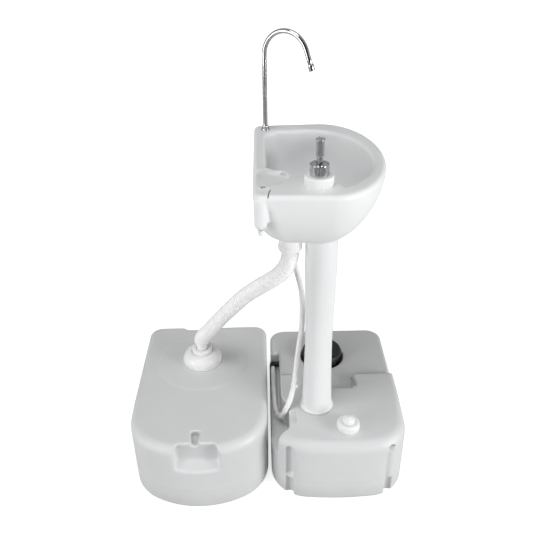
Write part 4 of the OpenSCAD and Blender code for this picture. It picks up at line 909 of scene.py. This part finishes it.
def metal(tree, shader, colour, roughness):
    """Make a shader a metal of one colour."""
    tree.links.new(roughness, shader.inputs["Roughness"])
    shader.inputs["Base Color"].default_value = to_linear(colour)
    shader.inputs["Metallic"].default_value = 1.0


def begin(name):
    """A new material: its tree, its shader and its Object coordinates."""
    material = bpy.data.materials.new(name)
    material.use_nodes = True
    tree = material.node_tree
    return material, tree, tree.nodes["Principled BSDF"], add(tree, "ShaderNodeTexCoord").outputs["Object"]


# %% Moulded plastics
def moulded(name, pale, deep, rough, grain_mm, grain_depth, drift_mm=85):
    """A plastic from a mould: drifting tone, sand-blasted grain and hair scratches."""
    material, tree, shader, place = begin(name)
    drift = noise(tree, place, drift_mm, Detail=3.0)
    tone = mixed(tree, drift, to_linear(pale), to_linear(deep))
    # the plastic turns slightly greyer in patches close to the floor
    height = add(tree, "ShaderNodeSeparateXYZ", {"Vector": place})
    low = from_to(tree, height.outputs["Z"], (0.0, 0.05), 0.35, 0.0)
    greyer_low_down = add(tree, "ShaderNodeMath", {0: low, 1: drift}, operation="MULTIPLY")
    colour = mixed(tree, greyer_low_down.outputs[0], tone, to_linear("#8E8C88"))
    # hair scratches: long thin islands of a stretched noise
    stretched = add(tree, "ShaderNodeMapping", {"Vector": place, "Rotation": (0.3, 0.2, 0.9),
                                                "Scale": (1, 14, 14)})
    scratch = noise(tree, stretched.outputs["Vector"], 55, Detail=2.0)
    hair = from_to(tree, scratch, (0.66, 0.72), 0.0, 1.0)
    dull = from_to(tree, drift, (0.3, 0.7), rough - 0.05, rough + 0.06)
    worn = add(tree, "ShaderNodeMath", {0: hair, 1: 0.08, 2: dull}, operation="MULTIPLY_ADD")
    grain = noise(tree, place, grain_mm, Detail=2.0, Roughness=0.6)
    tree.links.new(colour, shader.inputs["Base Color"])
    tree.links.new(worn.outputs[0], shader.inputs["Roughness"])
    tree.links.new(bump(tree, grain, 0.6, grain_depth), shader.inputs["Normal"])
    shader.inputs["IOR"].default_value = 1.5
    return material


# HDPE blown against a sand-blasted mould is satin, and its grain breaks up highlights
blown_hdpe = moulded("blow_moulded_hdpe", "#DBDCDC", "#D3D4D5", 0.44, 1.6, 0.06)
# rotomoulded PE is a little smoother and paler than the tanks
rotomoulded_pe = moulded("rotomoulded_pe", "#EEEFEF", "#E8E9EA", 0.38, 2.0, 0.05, 110)
# injection-moulded PP caps and nuts are whiter, with a low gloss
moulded_pp = moulded("injection_moulded_pp", "#F2F2F1", "#EBECEC", 0.32, 1.2, 0.02, 30)
# the ribbed drain hose is extruded PP, so it has no mould grain but the same whiteness
extruded_pp = moulded("extruded_pp_hose", "#F7F7F6", "#F1F2F1", 0.36, 0.9, 0.02, 40)
# plasticised PVC hose is slightly warm and glossier
soft_pvc = moulded("plasticised_pvc_hose", "#F5F5F4", "#EEEEED", 0.28, 0.8, 0.01, 25)
# black PP of the pedal: carbon black takes all colour, so only its sheen shows its shape
black_pp = moulded("carbon_black_pp", "#1B1B1D", "#121213", 0.42, 1.1, 0.05, 20)
plastics = (blown_hdpe, rotomoulded_pe, moulded_pp, extruded_pp, soft_pvc, black_pp)
print("plastics:", [plastic.name for plastic in plastics])

# %% [markdown]
# ## Rubber and metal
# Rubber is matte with a fine talc-like bloom. The chrome is an electroplated layer over brass:
# a mirror whose faint smears come from fingers and dried water. Drawn stainless wire and tube
# keep fine lines along their length.

# %% Rubber, chrome and steel
epdm_rubber, tree, shader, place = begin("epdm_rubber")
bloom = noise(tree, place, 6, Detail=4.0)
pores = noise(tree, place, 0.7, Detail=1.0)
tree.links.new(mixed(tree, bloom, to_linear("#121212"), to_linear("#232324")), shader.inputs["Base Color"])
tree.links.new(from_to(tree, bloom, (0.0, 1.0), 0.62, 0.85), shader.inputs["Roughness"])
tree.links.new(bump(tree, pores, 0.5, 0.05), shader.inputs["Normal"])

chrome_plate, tree, shader, place = begin("electroplated_chrome")
smear = noise(tree, place, 9, Detail=5.0)
spots = add(tree, "ShaderNodeTexVoronoi", {"Vector": place, "Scale": scale_for(3.5)})
dried = from_to(tree, spots.outputs["Distance"], (0.1, 0.16), 0.05, 0.0)
gloss = from_to(tree, smear, (0.35, 0.75), 0.1, 0.17)
soiled = add(tree, "ShaderNodeMath", {0: gloss, 1: dried}, operation="ADD")
metal(tree, shader, "#C6C8CB", soiled.outputs[0])

drawn_steel, tree, shader, place = begin("drawn_stainless_steel")
lines = add(tree, "ShaderNodeMapping", {"Vector": place, "Scale": (1, 1, 0.04)})
strokes = noise(tree, lines.outputs["Vector"], 0.6, Detail=2.0)
metal(tree, shader, "#B9BBBE", from_to(tree, strokes, (0.0, 1.0), 0.2, 0.38))
print("metals and rubber:", epdm_rubber.name, chrome_plate.name, drawn_steel.name)

# %% Give every piece and every CAD node its material
SLOT_MATERIAL = {"tank_plastic": blown_hdpe, "stand_plastic": rotomoulded_pe, "white_plastic": moulded_pp,
                 "black_plastic": black_pp, "black_rubber": epdm_rubber, "chrome": chrome_plate,
                 "steel": drawn_steel}
OWN_MATERIAL = {"ribbed_drain_hose": extruded_pp, "supply_hose_pvc": soft_pvc, "dip_tube": soft_pvc}
node_slot = {row["node"]: row["material_slot"] for row in frame["record"]["subparts"]}


def clothe(piece, name, slot):
    """Give a piece its own material, or else its slot's."""
    piece.data.materials.clear()
    piece.data.materials.append(OWN_MATERIAL.get(name, SLOT_MATERIAL[slot]))


for name, piece in nodes.items():
    clothe(piece, name, node_slot[name])
for piece, slot in dressed:
    clothe(piece, piece.name, slot)
print("dressed", len(nodes), "CAD nodes and", len(dressed), "modelled pieces")

# %% [markdown]
# ## Springs and bellows under a moving part
# The record says which nodes shorten when the pedal or the soap pump goes down, and which
# end of each stays where it is. Here each of them only gets a mesh of its own.

# %% Give the springs and the bellows meshes of their own
for joint in frame["record"]["behaviour"]["joints"]:
    for soft in joint.get("deforming_nodes", []):
        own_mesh(nodes[soft["node"]])

# %% [markdown]
# ## Floor and light
# The photograph is a cut-out on pure white with a faint contact shadow. A pale floor and a
# white world give that: the camera sees a white world, and the floor adds a glow of its own,
# so only the shadow stays visible. Glossy pieces see something else, a grey studio that gets
# dark in front, because chrome in an all-white room would show no form. The light is soft: one
# large low lamp on the right, a weaker one on the left, and one high up on the left that
# leaves the foot plate in the basin's shadow.

# %% Floor
def view_rays(tree):
    """The light path, and 1 for what the camera sees, also through a clear piece."""
    path = add(tree, "ShaderNodeLightPath").outputs
    direct = add(tree, "ShaderNodeMath", {0: path["Is Camera Ray"], 1: path["Is Transmission Ray"]},
                 operation="MAXIMUM")
    return path, direct.outputs[0]


def emission(tree, strength):
    """White light of a given strength."""
    return add(tree, "ShaderNodeEmission", {"Color": (1, 1, 1, 1), "Strength": strength}).outputs[0]


deselect()
bpy.ops.mesh.primitive_grid_add(x_subdivisions=8, y_subdivisions=8, size=14, location=(0, 3, 0))
floor = bpy.context.object
floor.name = "studio_floor"
bpy.ops.object.transform_apply(location=True, rotation=True, scale=True)
floor.location.z = -0.0004
paper = bpy.data.materials.new("white_studio_paper")
paper.use_nodes = True
tree = paper.node_tree
tree.nodes.remove(tree.nodes["Principled BSDF"])
matt = add(tree, "ShaderNodeBsdfDiffuse", {"Color": (0.62, 0.62, 0.62, 1)}).outputs[0]
path, shown = view_rays(tree)
spot = add(tree, "ShaderNodeTexCoord").outputs["Object"]
# the paper glows more away from the stand, so that it ends in pure white
away = add(tree, "ShaderNodeVectorMath", {0: spot}, operation="LENGTH")
glow = emission(tree, from_to(tree, away.outputs["Value"], (0.4, 1.3), 0.7, 1.05))
lit = add(tree, "ShaderNodeAddShader", {0: matt, 1: glow})
# only mirrors see this: the paper glows grey for them, and in front of the stand it turns into glowing dark
# and light stripes, a painted reflection that draws stripes on the chrome
where = add(tree, "ShaderNodeSeparateXYZ", {"Vector": spot})
stripe_lanes = add(tree, "ShaderNodeCombineXYZ", {"X": where.outputs["X"]})
MIRRORED_STRIPE_SCALE = 3.4
mirrored_stripes = add(tree, "ShaderNodeTexNoise", {"Vector": stripe_lanes.outputs["Vector"], "Scale": MIRRORED_STRIPE_SCALE,
                                          "Detail": 1.0})
dark = from_to(tree, mirrored_stripes.outputs["Fac"], (0.44, 0.56), 0.05, 0.62, interpolation_type="SMOOTHSTEP")
ahead = from_to(tree, where.outputs["Y"], (-1.25, -0.75), dark, 0.55, interpolation_type="SMOOTHSTEP")
plain = add(tree, "ShaderNodeMixShader", {0: shown, 1: matt, 2: lit.outputs[0]})
both = add(tree, "ShaderNodeMixShader", {0: path["Is Glossy Ray"], 1: plain.outputs[0],
                                         2: emission(tree, ahead)})
tree.links.new(both.outputs[0], tree.nodes["Material Output"].inputs["Surface"])
floor.data.materials.append(paper)

# %% World and lamps
world = bpy.data.worlds.new("white_studio")
bpy.context.scene.world = world
world.use_nodes = True
tree = world.node_tree
sky = tree.nodes["Background"]
sky.inputs["Color"].default_value = (1, 1, 1, 1)
sky.inputs["Strength"].default_value = 0.28
white = add(tree, "ShaderNodeBackground", {"Color": (1, 1, 1, 1), "Strength": 1.0})
# only mirrors see this: a painted reflection of a dark room behind the camera, which draws the dark stripes
# on the chrome
aim = add(tree, "ShaderNodeTexCoord")
split = add(tree, "ShaderNodeSeparateXYZ", {"Vector": aim.outputs["Generated"]})
room = from_to(tree, split.outputs["Y"], (-0.75, -0.35), 0.05, 0.4, interpolation_type="SMOOTHSTEP")
studio = add(tree, "ShaderNodeBackground", {"Color": room, "Strength": 1.0})
path, shown = view_rays(tree)
mirrored = add(tree, "ShaderNodeMixShader", {0: path["Is Glossy Ray"], 1: sky.outputs[0],
                                             2: studio.outputs[0]})
final = add(tree, "ShaderNodeMixShader", {0: shown, 1: mirrored.outputs[0], 2: white.outputs[0]})
tree.links.new(final.outputs[0], tree.nodes["World Output"].inputs["Surface"])


def softbox(name, at, target, size, watts):
    """A square area lamp at a place in metres, turned to a target."""
    lamp = bpy.data.lights.new(name, "AREA")
    lamp.shape, lamp.size, lamp.energy = "SQUARE", size, watts
    holder = bpy.data.objects.new(name, lamp)
    bpy.context.scene.collection.objects.link(holder)
    turn = (Vector(target) - Vector(at)).to_track_quat("-Z", "Y").to_matrix().to_4x4()
    holder.matrix_world = Matrix.Translation(at) @ turn
    return holder


softbox("key_right", (2.6, -1.6, 0.95), (0, 0, 0.5), 1.3, 63)
softbox("fill_left", (-2.6, -1.5, 0.95), (0, 0, 0.5), 1.5, 37)
softbox("overhead_left", (-0.9, -1.5, 4.6), (0, 0, 0.3), 1.8, 68)
bpy.context.scene.view_settings.view_transform = "Standard"
